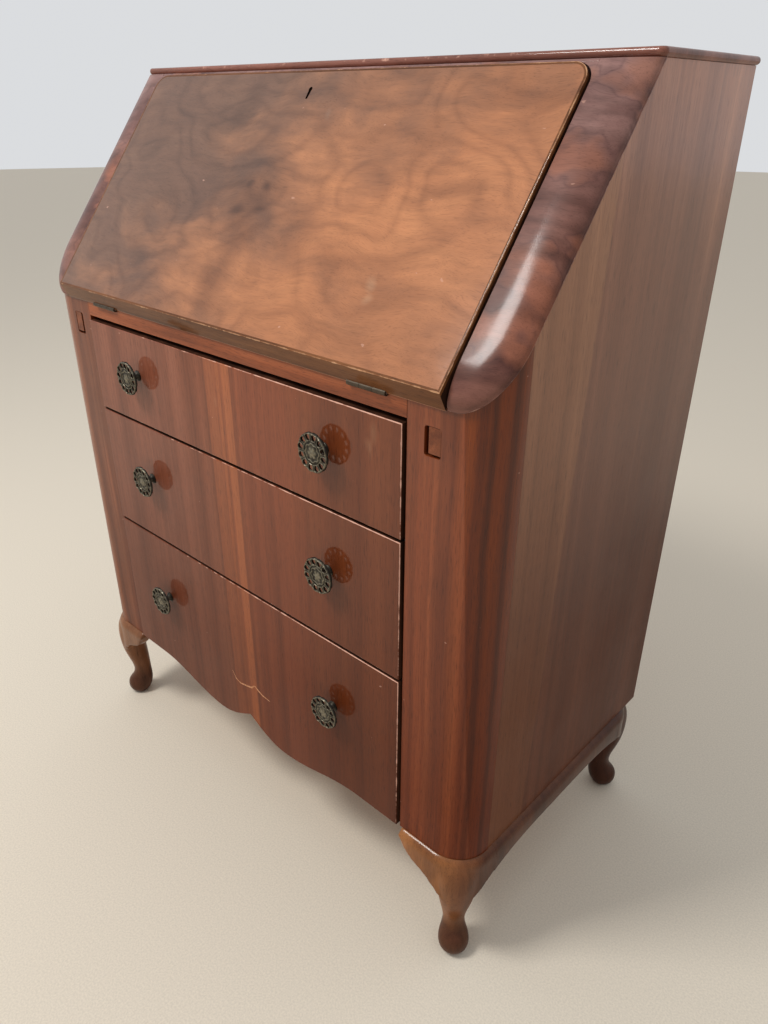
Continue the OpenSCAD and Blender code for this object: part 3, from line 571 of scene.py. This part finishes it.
low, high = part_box("top_board")
x1 = high.x / MM
y0, y1 = (low.y - ORIGIN_Y) / MM, (high.y - ORIGIN_Y) / MM
TOP_CORNER = 7.0
top_outline = (arc(x1 - TOP_CORNER, y0 + TOP_CORNER, TOP_CORNER, -90, 0, 8) + [(x1, y1), (-x1, y1)]
               + arc(-x1 + TOP_CORNER, y0 + TOP_CORNER, TOP_CORNER, 180, 270, 8))
half_t = (DESK_H - TOP_Z) / 2
nosing = [(half_t * 0.8 * (1 - math.cos(math.radians(a))), half_t * math.sin(math.radians(a)))
          for a in range(-90, 91, 15)]
rings = [[place(x, y, TOP_Z + half_t + h) for x, y in inset(top_outline, d)] for d, h in nosing]
top_board = add_piece("top_board_nosed", *loft(rings), "carcass", "walnut_border", [top_wood])
nosed_y = place(0, y0 + 9, 0).y
set_values(top_board, "wear", [
    0.32 if 0 < h < half_t * 0.9 and p.y < nosed_y else 0.0
    for (d, h), ring in zip(nosing, rings) for p in ring])
weight_normals(top_board)
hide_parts("top_board")


# --- slope borders

BORDER_OUTER = HALF_W + 1.5
BORDER_INNER = 331.5
BORDER_N0, BORDER_N1 = 0.6, 15.5
BEAD = ((0.7, 0.0), (0.1, 0.5), (0.0, 1.2), (0.2, 1.9), (0.7, 2.2))
BEAD_CREST = 2
ROLL = 36.0
ROLL_STEPS = 16
CORNER_STEPS = 20
SIDE_STEPS = 24


def border_ring(n, d):
    """Plan curve of the border on slope plane n, d inside its outline, from the top end to the front."""
    outer = BORDER_OUTER - d
    front = AXIS_Y + n * (FALL_BEVEL / FALL_T * COS - SIN) + d * 0.62
    r = max(CORNER_R - d * 0.9, 6.0)
    cx, cy = outer - r, front + r
    y_top = AXIS_Y + ((TOP_Z - AXIS_Z) * COS - n) / SIN
    plan = [(outer, y_top + (cy - y_top) * k / SIDE_STEPS) for k in range(SIDE_STEPS)]
    plan += arc(cx, cy, r, 0, -90, CORNER_STEPS)
    plan += [(cx + (BORDER_INNER - cx) * k / 4, front) for k in range(1, 5)]
    return [(x, y, AXIS_Z + (n + (y - AXIS_Y) * SIN) / COS) for x, y in plan]


def border_rings(side):
    """Rings of the border, from the bead below, over the roll and the face, to the inner wall."""
    rings = [border_ring(BORDER_N0 + n, d) for d, n in BEAD]
    start = BORDER_N0 + BEAD[-1][1]
    for k in range(1, ROLL_STEPS + 1):
        t = k / ROLL_STEPS * math.pi / 2
        rings.append(border_ring(start + (BORDER_N1 - start) * math.sin(t),
                                 BEAD[-1][0] + ROLL * (1 - math.cos(t))))
    face_ring = rings[-1]
    for share in (0.25, 0.5, 0.75, 1.0):
        rings.append([(x + (BORDER_INNER - x) * share, y, z) for x, y, z in face_ring])
    lower = [(x, y, z - (BORDER_N1 - BORDER_N0) / COS) for x, y, z in rings[-1]]
    rings.append([(BORDER_INNER, *rings[0][0][1:])] + lower[1:])
    return [[place(side * x, y, z) for x, y, z in ring] for ring in rings]


for side, name in SIDES:
    rings = border_rings(side)
    verts, faces = loft(rings, ring_closed=False, caps=False)
    count, total = len(rings[0]), len(verts)
    top_end = tuple(range(0, total, count))
    front_end = tuple(range(count - 1, total, count))
    underside = tuple(range(count)) + tuple(range(total - 1, total - count - 1, -1))
    border = add_piece("slope_border_rolled_" + name, verts, faces + [top_end, front_end, underside],
                       "carcass", "walnut_border", [border_wood], smooth_angle=50)
    set_values(border, "wear", [0.5 if j == BEAD_CREST else 0.0 for j in range(len(rings)) for k in range(count)])
    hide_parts("slope_border_" + name)


# --- stiles

MOUTH = (304.2, 664.5, 323.8, 693.9)
PANEL_T = 16.0
STILE_X = 283.0
STILE_TOP_N = 4.0


def cut(piece, verts, faces):
    """Takes a closed shape out of a piece."""
    cutter = add_object("cutter", verts, faces)
    boolean = piece.modifiers.new("cut", "BOOLEAN")
    boolean.object = cutter
    boolean.solver = "EXACT"
    apply_modifiers(piece)
    bpy.data.objects.remove(cutter)


def apply_modifiers(piece):
    """Makes the piece's mesh what its modifiers show."""
    depsgraph = bpy.context.evaluated_depsgraph_get()
    mesh = bpy.data.meshes.new_from_object(piece.evaluated_get(depsgraph))
    piece.modifiers.clear()
    piece.data = mesh


def rounded_rectangle(x0, z0, x1, z1, r, steps=5):
    return (arc(x1 - r, z0 + r, r, -90, 0, steps) + arc(x1 - r, z1 - r, r, 0, 90, steps)
            + arc(x0 + r, z1 - r, r, 90, 180, steps) + arc(x0 + r, z0 + r, r, 180, 270, steps))


def stile_top(x, y):
    """Height of the stile's top end at a plan point."""
    if x < BORDER_INNER:
        return AXIS_Z
    return AXIS_Z + (STILE_TOP_N + (y - AXIS_Y) * SIN) / COS - 0.05


plan = [(STILE_X, 1.0), (STILE_X + 0.3, 0.3), (STILE_X + 1.0, 0.0)]
plan += [(BORDER_INNER - 0.01, 0.0), (BORDER_INNER + 0.01, 0.0)]
plan += arc(HALF_W - CORNER_R, CORNER_R, CORNER_R, -90, 0, 28)
plan += arc(HALF_W - CORNER_R, CORNER_R, CORNER_R - PANEL_T, 0, -90, 28)
plan += [(BORDER_INNER + 0.01, PANEL_T), (BORDER_INNER - 0.01, PANEL_T), (STILE_X, PANEL_T)]
for side, name in SIDES:
    rings = [[place(side * x, y, CARCASS_Z) for x, y in plan],
             [place(side * x, y, stile_top(x, y)) for x, y in plan]]
    stile = add_piece("stile_veneered_" + name, *loft(rings), "carcass", "walnut_stile", [stile_wood])
    mouth = rounded_rectangle(*MOUTH, 3.0)
    cut(stile, *loft([[place(side * x, y, z) for x, z in mouth] for y in (-5.0, PANEL_T + 5)]))
    stile.data.set_sharp_from_angle(angle=math.radians(SHARP_ANGLE))
    weight_normals(stile)
    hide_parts("stile_" + name)


# --- lopers

GROOVE_W, GROOVE_DEEP, GROOVE_UNDER = 4.4, 14.0, 2.4


def cuboid(low, high):
    ring = ((low[0], low[2]), (high[0], low[2]), (high[0], high[2]), (low[0], high[2]))
    return loft([[place(x, y, z) for x, z in ring] for y in (low[1], high[1])])


def shape_of(node):
    """Vertices and faces of a CAD node's mesh, joined along its edges."""
    bm = bmesh.new()
    bm.from_mesh(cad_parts[node].data)
    bmesh.ops.remove_doubles(bm, verts=bm.verts, dist=WELD_REACH)
    bm.verts.ensure_lookup_table()
    verts = [vert.co.copy() for vert in bm.verts]
    faces = [tuple(vert.index for vert in face.verts) for face in bm.faces]
    bm.free()
    return verts, faces


for side, name in SIDES:
    node = "loper_" + name
    low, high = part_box(node)
    loper = add_piece(node + "_grooved", *shape_of(node), node, "walnut_loper", [loper_wood])
    inner_x = min(abs(low.x), abs(high.x)) / MM
    y0, z0 = (low.y - ORIGIN_Y) / MM, low.z / MM
    for x0, x1, z1 in ((inner_x - 1, inner_x + GROOVE_W, high.z / MM + 1),
                       (inner_x, inner_x + 30, z0 + GROOVE_UNDER)):
        reach = sorted((side * x0, side * x1))
        cut(loper, *cuboid((reach[0], y0 - 1, z0 - 1), (reach[1], y0 + GROOVE_DEEP, z1)))
    round_edges(loper)
    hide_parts(node)


# --- fall

FALL_HALF_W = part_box("fall_board")[1].x / MM
FALL_END = FALL_BEVEL + 315.0
FALL_CORNER = 18.0
LIP_W = 2.4
LIP_PROUD = 0.3
LIP_RISE = 0.1
LIP_STEPS = 40


def fall_outline(n, d):
    """Outline of the fall at height n, d inside its edges, as (x, s)."""
    w = FALL_HALF_W - d
    s0 = FALL_BEVEL * n / FALL_T + d
    s1 = FALL_END - d
    r = FALL_CORNER - d
    low_edge = [(-w + 2 * w * k / LIP_STEPS, s0) for k in range(LIP_STEPS)]
    return low_edge + [(w, s0)] + arc(w - r, s1 - r, r, 0, 90, 12) + arc(-w + r, s1 - r, r, 90, 180, 12)


# Section of the lipping: distance inside the outline, height, wear
lip_profile = [
    (-LIP_PROUD, 1.0, 0), (-LIP_PROUD, FALL_T - 3.4, 0), (-LIP_PROUD, FALL_T - 1.6, 0),
    (-LIP_PROUD, FALL_T - 0.9, 0.25), (-LIP_PROUD * 0.5, FALL_T - 0.4, 0.9), (0.2, FALL_T, 0.9),
    (0.8, FALL_T + LIP_RISE, 0.25), (LIP_W - 0.3, FALL_T + LIP_RISE, 0), (LIP_W, FALL_T + 0.03, 0),
    (LIP_W + 0.1, FALL_T - 0.6, 0), (1.0, FALL_T - 1.6, 0), (0.8, 1.0, 0)]
rings = [[on_slope(x, s, n) for x, s in fall_outline(n, d)] for d, n, worn in lip_profile]
verts, faces = loft(rings, around=True)
around = len(rings[0])
# The lipping's outer sides, in the gaps, take the painted shade wood.
in_gap = [1 if j == 0 and k >= LIP_STEPS else 0 for j in range(len(rings)) for k in range(around)]
lipping = add_piece("fall_lipping", verts, faces, "fall", "walnut_fall", [lip_wood, gap_shade_wood],
                    face_material=in_gap)
set_values(lipping, "wear", [
    worn * (0.62 + 0.16 * p.x / (FALL_HALF_W * MM))
    for (d, n, worn), ring in zip(lip_profile, rings) for p in ring])


# The board again, with its keyhole worn open
KEY_X, KEY_S = -13.0, 299.5
board = add_piece("fall_board_keyed", *shape_of("fall_board"), "fall", "walnut_fall", [fall_wood, inner_shade_wood])
keyhole = arc(KEY_X, KEY_S, 2.7, -35, 215, 16) + [(KEY_X - 1.5, KEY_S - 12), (KEY_X + 1.5, KEY_S - 12)]
cut(board, *loft([[on_slope(x, s, n) for x, s in keyhole] for n in (FALL_T - 9, FALL_T + 2)]))
# Painted shade: the keyhole's walls take the near-black wood.
for polygon in board.data.polygons:
    across = (polygon.center - on_slope(KEY_X, KEY_S - 5, FALL_T - 5)).length
    if across < 10 * MM and abs(polygon.normal.dot(Vector((0, -SIN, COS)))) < 0.5:
        polygon.material_index = 1
board.data.set_sharp_from_angle(angle=math.radians(SHARP_ANGLE))
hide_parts("fall_board")


# Fillings between the rounded top corners of the fall, the borders and the rail over the fall
CORNER_GAP = 2.4
for side, name in SIDES:
    r = FALL_CORNER + CORNER_GAP
    cx, cs = BORDER_INNER - 0.1 - r, FALL_END + CORNER_GAP - r
    outline = arc(cx, cs, r, 0, 90, 14) + [(BORDER_INNER - 0.1, FALL_END + CORNER_GAP)]
    rings = [[on_slope(side * x, s, n) for x, s in outline] for n in (4.0, BORDER_N1)]
    add_piece("slope_corner_" + name, *loft(rings), "carcass", "walnut_border", [border_wood])


# --- drawer fronts

ARRIS = quarter(1.1, 4) + [(1.9, 0.0)]
ARRIS_WEAR = (0.0, 0.0, 0.7, 1.0, 1.0, 0.4, 0.0)
UNDERCUT = 1.2
APRON_NOTCH, APRON_LOBE, APRON_LOW = 172.0, 146.5, 170.0
LOBE_X, RUN_OUT_X = 70.0, 215.0


def apron_z(x):
    """Lower edge of the bottom drawer front: a pointed notch between two lobes that run out straight."""
    if x < LOBE_X:
        return APRON_NOTCH - (APRON_NOTCH - APRON_LOBE) * math.sin(math.pi / 2 * x / LOBE_X)
    if x < RUN_OUT_X:
        share = (1 - math.cos(math.pi * (x - LOBE_X) / (RUN_OUT_X - LOBE_X))) / 2
        return APRON_LOBE + (APRON_LOW - APRON_LOBE) * share
    return APRON_LOW


for i in (1, 2, 3):
    name = "drawer_%d" % i
    low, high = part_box(name + "_front")
    w = high.x / MM
    z0, z1 = low.z / MM + (UNDERCUT if i < 3 else 0.0), high.z / MM
    y_face, y_back = (low.y - ORIGIN_Y) / MM, (high.y - ORIGIN_Y) / MM
    if i < 3:
        bottom = [(-w + 2 * w * k / 40, z0) for k in range(41)]
    else:
        xs = [-w] + [-RUN_OUT_X + 2 * RUN_OUT_X * k / 172 for k in range(173)] + [w]
        bottom = [(x, apron_z(abs(x))) for x in xs]
    outline = bottom + [(w - 2 * w * k / 80, z1) for k in range(81)]
    rings = [[place(x, y_back, z) for x, z in outline]]
    rings += [[place(x, y_face + drop, z) for x, z in inset(outline, d)] for d, drop in ARRIS]
    verts, faces = loft(rings)
    # The side walls of the drawer front take the painted shade wood.
    walls = [1 if k < len(outline) else 0 for k in range(len(faces))]
    front = add_piece(name + "_front_veneered", verts, faces, name, "walnut_drawer", [drawer_wood, gap_shade_wood],
                      face_material=walls)
    top_line = place(0, 0, z1 - 2).z
    set_values(front, "wear", [
        value * (0.62 + 0.46 * p.x / (w * MM) if p.z > top_line else 0.45)
        for value, ring in zip(ARRIS_WEAR, rings) for p in ring])
    weight_normals(front)
    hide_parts(name + "_front")


# --- knobs

KNOB_X = 175.0
ROSETTE_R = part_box("drawer_1_knobs")[1].x / MM - KNOB_X
KNOB_REACH = 21.5
PETALS = 12
SECTOR = 2 * math.pi / PETALS
HUB_R = 12.0
HOLE_R, HOLE_RADIAL, HOLE_SIDE = 16.8, 3.6, 3.0


def rosette_height(r, a):
    """Relief of the rosette's face over its back, from the middle outwards."""
    zigzag = 9.6 + 0.75 * math.cos(8 * a)
    ridge = 1.0 * math.exp(-((r - zigzag) / 0.55) ** 2)
    flower = 1.7 * math.exp(-(r / 3.0) ** 2)
    leaf = 0.9 * math.exp(-((r - 4.9) / 1.3) ** 2) * (0.55 + 0.45 * math.cos(6 * a))
    rim = 0.5 * math.exp(-((r - 13.0) / 0.6) ** 2)
    outer = 0.7 * math.exp(-((r - 20.6) / 0.9) ** 2)
    edge = -1.1 * smooth_step((r - 20.6) / 1.4)
    return 2.2 + ridge + flower + leaf + rim + outer + edge


def rosette():
    """Vertices, faces and grime of a pierced rosette: a relief hub and a ring of oval openings."""
    verts, faces, grime = [], [], []

    def face_point(x, z, lift=0.0):
        r, a = math.hypot(x, z), math.atan2(z, x)
        verts.append((x, z, rosette_height(r, a) + lift))
        grime.append(min(1.0, max(0.0, 1.0 - (rosette_height(r, a) + lift - 2.0) / 0.9)))
        return len(verts) - 1

    around = 96
    radii = (0.9, 1.8, 2.7, 3.6, 4.5, 5.4, 6.3, 7.2, 7.9, 8.6, 9.2, 9.8, 10.4, 11.2, HUB_R)
    hub = [[face_point(x, z) for x, z in circle(r, around)] for r in radii]
    centre = face_point(0.0, 0.0)
    for k in range(around):
        m = (k + 1) % around
        faces.append((centre, hub[0][k], hub[0][m]))
        for a, b in zip(hub, hub[1:]):
            faces.append((a[k], b[k], b[m], a[m]))
    per_sector = around // PETALS
    side_points = 7
    radial = [[face_point(*polar(HUB_R + (ROSETTE_R - 0.9 - HUB_R) * j / (side_points + 1), s * SECTOR))
               for j in range(1, side_points + 1)] for s in range(PETALS)]

    def rim_radius(a):
        return ROSETTE_R - 1.0 + 0.9 * abs(math.sin(PETALS / 2 * a)) ** 0.7

    angles = [2 * math.pi * k / around for k in range(around)]
    rim = [face_point(*polar(rim_radius(a), a)) for a in angles]
    for s in range(PETALS):
        left, right = radial[s], radial[(s + 1) % PETALS]
        inner = [hub[-1][(s * per_sector + k) % around] for k in range(per_sector + 1)]
        outer = [rim[(s * per_sector + k) % around] for k in range(per_sector + 1)]
        loop = inner + right + outer[::-1] + left[::-1]
        middle = (s + 0.5) * SECTOR
        cx, cz = polar(HOLE_R, middle)
        cosine, sine = polar(1, middle)
        count = len(loop)
        previous = loop
        for share, lift in ((0.4, 0.0), (0.72, 0.55), (0.9, 0.5), (1.0, -0.3)):
            current = []
            for index in loop:
                x, z, _ = verts[index]
                u = (x - cx) * cosine + (z - cz) * sine
                v = -(x - cx) * sine + (z - cz) * cosine
                side = HOLE_SIDE * (1.0 + 0.22 * u / (abs(u) + 3))
                scale = 1 / math.hypot(u / HOLE_RADIAL, v / side)
                hu, hv = u * scale, v * scale
                nu, nv = u + (hu - u) * share, v + (hv - v) * share
                current.append(face_point(cx + nu * cosine - nv * sine, cz + nu * sine + nv * cosine, lift))
            for k in range(count):
                m = (k + 1) % count
                faces.append((previous[k], previous[m], current[m], current[k]))
            previous = current
    return verts, faces, grime


def close_rosette(verts, faces):
    """Adds a flat back and the walls of the rim and the openings."""
    count = len(verts)
    back = [(x, z, 0.0) for x, z, h in verts]
    all_faces = list(faces) + [tuple(count + k for k in reversed(face)) for face in faces]
    edges = {edge: True for face in faces for edge in zip(face, face[1:] + face[:1])}
    for a, b in edges:
        if (b, a) not in edges:
            all_faces.append((b, a, count + a, count + b))
    return verts + back, all_faces


relief, relief_faces, RELIEF_GRIME = rosette()
ROSETTE, ROSETTE_FACES = close_rosette(relief, relief_faces)
DISC_Y = 14.4
# Profile of the stem: radius, height over the drawer front
STEM = ((0.01, 0.0), (7.0, 0.0), (7.0, 1.0), (6.2, 1.8), (4.6, 3.0), (3.9, 5.0), (3.8, 8.6), (4.4, 11.2),
        (6.0, 13.4), (7.6, 14.2), (7.8, 14.8), (0.01, 15.2))


def add_knob(name, body, x, y_face, z):
    turn = random.uniform(0, 2 * math.pi / PETALS)
    points = []
    for u, v, h in ROSETTE:
        pu = u * math.cos(turn) - v * math.sin(turn)
        pv = u * math.sin(turn) + v * math.cos(turn)
        points.append(place(x + pu, y_face - DISC_Y - h, z + pv))
    disc = add_piece(name + "_rosette", points, ROSETTE_FACES, body, "aged_brass", [brass], smooth_angle=55)
    set_values(disc, "grime", RELIEF_GRIME + [0.8] * len(RELIEF_GRIME))
    rings = [[place(x + u, y_face - h, z + v) for u, v in circle(r, 40)] for r, h in STEM]
    stem = add_piece(name + "_stem", *loft(rings), body, "aged_brass", [brass])
    # Grime and painted shade: the stem is darkened all over, as it sits in the rosette's shade.
    set_values(stem, "grime", [0.75] * len(stem.data.vertices))
    return disc, stem


for i in (1, 2, 3):
    low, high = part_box("drawer_%d_knobs" % i)
    z = (low.z + high.z) / 2 / MM
    y_face = (low.y - ORIGIN_Y) / MM + KNOB_REACH
    for side, hand in SIDES:
        for piece in add_knob("knob_%d_%s" % (i, hand), "drawer_%d" % i, side * KNOB_X, y_face, z):
            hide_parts("drawer_%d_knobs" % i)


# --- scars

SCAR_DEPTH, SCAR_PROUD = 0.4, 0.08
DRAWER_FACE_Y = -3.6
# Path of the splinter mark on the lowest drawer: x, z, half width
SCAR_PATH = ((-33, 234, 0.4), (-26, 223, 1.3), (-16, 220, 1.6), (-2, 223, 1.8), (9, 226, 2.2), (14, 231, 1.6),
             (17, 233, 1.2), (24, 229, 2), (33, 225.5, 1.7), (42, 225, 1.2), (49, 224.5, 0.4))
rings = []
for k, (x, z, half) in enumerate(SCAR_PATH):
    px, pz, _ = SCAR_PATH[max(k - 1, 0)]
    qx, qz, _ = SCAR_PATH[min(k + 1, len(SCAR_PATH) - 1)]
    length = math.hypot(qx - px, qz - pz)
    nx, nz = -(qz - pz) / length * half, (qx - px) / length * half
    rings.append([place(x + nx * share, DRAWER_FACE_Y - lift, z + nz * share) for share, lift in
                  ((-1, -SCAR_DEPTH), (-0.6, SCAR_PROUD), (0.6, SCAR_PROUD), (1, -SCAR_DEPTH))])
add_piece("scar_drawer_3", *loft(rings), "drawer_3", "walnut_drawer", [scar_wood])


# --- base

BASE_TOP_R = 12.0
RAIL_IN = 20.0
BASE_RAIL_Y = 55.0


def base_edge_z(y):
    """Lower edge of a side rail: level in the middle and dropping towards the legs."""
    half = DEPTH / 2 - BASE_RAIL_Y
    return CARCASS_Z - 30 - 12 * (abs(y - DEPTH / 2) / half) ** 4


def base_profile(low_z):
    """(distance inside the outline, height) of the base's section, from the top inside to the lower edge."""
    top = [(BASE_TOP_R * (1 - math.cos(math.radians(a))), CARCASS_Z - BASE_TOP_R * (1 - math.sin(math.radians(a))))
           for a in range(90, -1, -15)]
    low = [(3.0 * (1 - math.cos(math.radians(a))), low_z + 3.0 * (1 - math.sin(math.radians(a))))
           for a in range(0, 91, 22)]
    return [(RAIL_IN, CARCASS_Z)] + top + low + [(RAIL_IN, low_z)]


for side, name in SIDES:
    rings = []
    for k in range(41):
        y = BASE_RAIL_Y + (DEPTH - 2 * BASE_RAIL_Y) * k / 40
        rings.append([place(side * (HALF_W + BASE_OUT - d), y, h) for d, h in base_profile(base_edge_z(y))])
    rail = add_piece("base_rail_moulded_" + name, *loft(rings), "carcass", "walnut_base", [base_wood],
                     smooth_angle=60)
    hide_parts("base_rail_" + name)

# Cross-sections of a cabriole leg: height, reach outwards and inwards along the diagonal, half width
LEG_RINGS = (
    (0, 18, 2, 12), (4, 26, 5, 16), (9, 29.5, 8, 18.5), (15, 30.5, 10.5, 19.5), (22, 29.5, 12, 18.8),
    (28, 26, 12.8, 17), (36, 20, 13, 14.8), (47, 16.5, 12.5, 13.8), (62, 18, 12, 15.8),
    (82, 24, 11, 19.5), (100, 28.5, 10, 22.5), (126, 31, 12, 25.5), (148, 29, 16, 27), (160, 24, 18, 24),
)


def leg_section(z):
    """Reach outwards and inwards and half width of the leg at height z, on a smooth curve."""
    rings = LEG_RINGS
    for k in range(len(rings) - 1):
        if z <= rings[k + 1][0]:
            break
    p0, p1, p2, p3 = rings[max(k - 1, 0)], rings[k], rings[k + 1], rings[min(k + 2, len(rings) - 1)]
    t = (z - p1[0]) / (p2[0] - p1[0])
    values = []
    for c in (1, 2, 3):
        m1 = (p2[c] - p0[c]) / (p2[0] - p0[0]) * (p2[0] - p1[0])
        m2 = (p3[c] - p1[c]) / (p3[0] - p1[0]) * (p2[0] - p1[0])
        values.append((2 * t ** 3 - 3 * t ** 2 + 1) * p1[c] + (t ** 3 - 2 * t ** 2 + t) * m1
                      + (3 * t ** 2 - 2 * t ** 3) * p2[c] + (t ** 3 - t ** 2) * m2)
    return values


# Lower edge of the front bracket and knee: x, z
FRONT_BRACKET = ((286, 159), (290, 152), (296, 143), (302, 137), (310, 132), (320, 128), (330, 123),
                 (340, 115), (349, 105), (356, 96), (374, 88))
LEG_INSET = (27.8, 24.4)
KNEE_LOW = 92
REAR_BRACKET_Z, REAR_BRACKET_DROP = 130, 20


def knee_ring(x_plan, y_plan, nx, ny, low_z):
    """One section of the knee block at a plan point, as frame points; (nx, ny) points out of the base."""
    return [(x_plan - nx * d, y_plan - ny * d, h) for d, h in base_profile(low_z)]


def leg_mesh(front):
    """Right-hand leg with its knee block, in design axes, before it is melted into one skin."""
    sections = []
    steps = 70
    cx, cy = HALF_W - LEG_INSET[0], LEG_INSET[1]
    for k in range(steps + 1):
        z = LEG_RINGS[-1][0] * k / steps
        out, back, half = leg_section(z)
        ring = []
        for m in range(48):
            a = 2 * math.pi * m / 48
            along = (out - back) / 2 + (out + back) / 2 * math.cos(a)
            across = half * math.sin(a)
            ring.append((cx + (along + across) * math.sqrt(0.5), cy - (along - across) * math.sqrt(0.5), z))
        sections.append(ring)
    leg = loft(sections)
    r = CORNER_R + BASE_OUT
    corner_x = HALF_W + BASE_OUT - r
    y0 = -BASE_OUT if front else 0.0
    sections = []
    if front:
        start = FRONT_BRACKET[0][0]
        for k in range(24):
            x = start + (corner_x - start) * k / 24
            sections.append(knee_ring(x, y0, 0, -1, between(FRONT_BRACKET, x)))
    for k in range(25):
        a = math.radians(-90 + 90 * k / 24)
        x, y = corner_x + r * math.cos(a), y0 + r + r * math.sin(a)
        if y > 8:
            rise = smooth_step((y - 8) / (BASE_RAIL_Y - 8)) ** 0.8
            low_z = KNEE_LOW + (base_edge_z(BASE_RAIL_Y) - KNEE_LOW) * rise
        elif front:
            low_z = between(FRONT_BRACKET, min(x, 372))
        else:
            low_z = REAR_BRACKET_Z - REAR_BRACKET_DROP * smooth_step((x - corner_x) / 36)
        sections.append(knee_ring(x, y, math.cos(a), math.sin(a), low_z))
    for y in (BASE_RAIL_Y - 2, BASE_RAIL_Y, BASE_RAIL_Y + 3):
        if y > y0 + r:
            sections.append(knee_ring(HALF_W + BASE_OUT, y, 1, 0, base_edge_z(BASE_RAIL_Y)))
    return leg, loft(sections)


VOXEL = 0.0016
limit_x = HALF_W + BASE_OUT
for front, part in ((True, "front"), (False, "rear")):
    for side, hand in SIDES:
        verts, faces = [], []
        for shape_verts, shape_faces in leg_mesh(front):
            start = len(verts)
            for x, y, z in shape_verts:
                y = y if front else DEPTH - y
                y = max(y, -BASE_OUT) if front else min(y, DEPTH + 5.0)
                verts.append(place(side * min(x, limit_x), y, z))
            faces += [tuple(start + k for k in face) for face in shape_faces]
        leg = add_piece("leg_%s_%s_carved" % (part, hand), verts, faces,
                        "carcass", "walnut_base", [base_wood])
        melt = leg.modifiers.new("melt", "REMESH")
        melt.mode = "VOXEL"
        melt.voxel_size = VOXEL
        melt.use_smooth_shade = True
        ease = leg.modifiers.new("ease", "SMOOTH")
        ease.factor = 0.5
        ease.iterations = 14
        apply_modifiers(leg)
        leg.data.shade_smooth()
        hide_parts("leg_%s_%s" % (part, hand))


# --- stage, light and camera

mesh = bpy.data.meshes.new("floor")
mesh.from_pydata([(x, y, 0.0) for x, y in circle(14.0, 64)], [], [tuple(range(64))])
mesh.materials.append(plain("floor_pale", tone(230, 219, 201), 0.95))
floor = bpy.data.objects.new("floor", mesh)
bpy.context.scene.collection.objects.link(floor)

LIGHT_AT, LIGHT_AIM = Vector((-0.77, -1.48, 2.73)), Vector((0.1, -0.2, 0.6))
window = bpy.data.lights.new("window", "AREA")
window.shape = "RECTANGLE"
window.size = window.size_y = 0.7
window.energy = 47
window.color = (1.0, 0.985, 0.96)
light = bpy.data.objects.new("window", window)
light.location = LIGHT_AT
light.rotation_euler = (LIGHT_AIM - LIGHT_AT).to_track_quat("-Z", "Y").to_euler()
bpy.context.scene.collection.objects.link(light)

world = bpy.data.worlds.new("studio")
world.use_nodes = True
sky = world.node_tree
background = sky.nodes["Background"]
direction = sky.nodes.new("ShaderNodeTexCoord").outputs["Generated"]
towards_light = sky.nodes.new("ShaderNodeVectorMath")
towards_light.operation = "DOT_PRODUCT"
towards_light.inputs[1].default_value = Vector((-0.62, 0.62, 0.48)).normalized()
sky.links.new(direction, towards_light.inputs[0])
soft = sky.nodes.new("ShaderNodeMapRange")
soft.interpolation_type = "SMOOTHSTEP"
for name, number in (("From Min", -0.75), ("From Max", 0.6), ("To Min", 0.42), ("To Max", 0.74)):
    soft.inputs[name].default_value = number
sky.links.new(towards_light.outputs["Value"], soft.inputs["Value"])
sky.links.new(soft.outputs["Result"], background.inputs["Strength"])
background.inputs["Color"].default_value = tone(250, 252, 255)
bpy.context.scene.world = world
bpy.context.scene.view_settings.view_transform = "Standard"

YAW, PITCH, ROLL_ANGLE = 0.7463841, 0.4811923, 0.0037587
right = Vector((math.cos(YAW), math.sin(YAW), 0))
forward = Vector((-math.sin(YAW) * math.cos(PITCH), math.cos(YAW) * math.cos(PITCH), -math.sin(PITCH)))
up = right.cross(forward)
camera_x = right * math.cos(ROLL_ANGLE) + up * math.sin(ROLL_ANGLE)
camera_y = up * math.cos(ROLL_ANGLE) - right * math.sin(ROLL_ANGLE)
camera_data = bpy.data.cameras.new("camera")
camera_data.lens = 27.458
camera_data.sensor_width = 36.0
camera_data.clip_start = 0.01
camera = bpy.data.objects.new("camera", camera_data)
turn = Matrix((camera_x, camera_y, -forward)).transposed().to_4x4()
camera.matrix_world = Matrix.Translation((0.720813, -0.698191, 0.946384)) @ turn
bpy.context.scene.collection.objects.link(camera)
bpy.context.scene.camera = camera
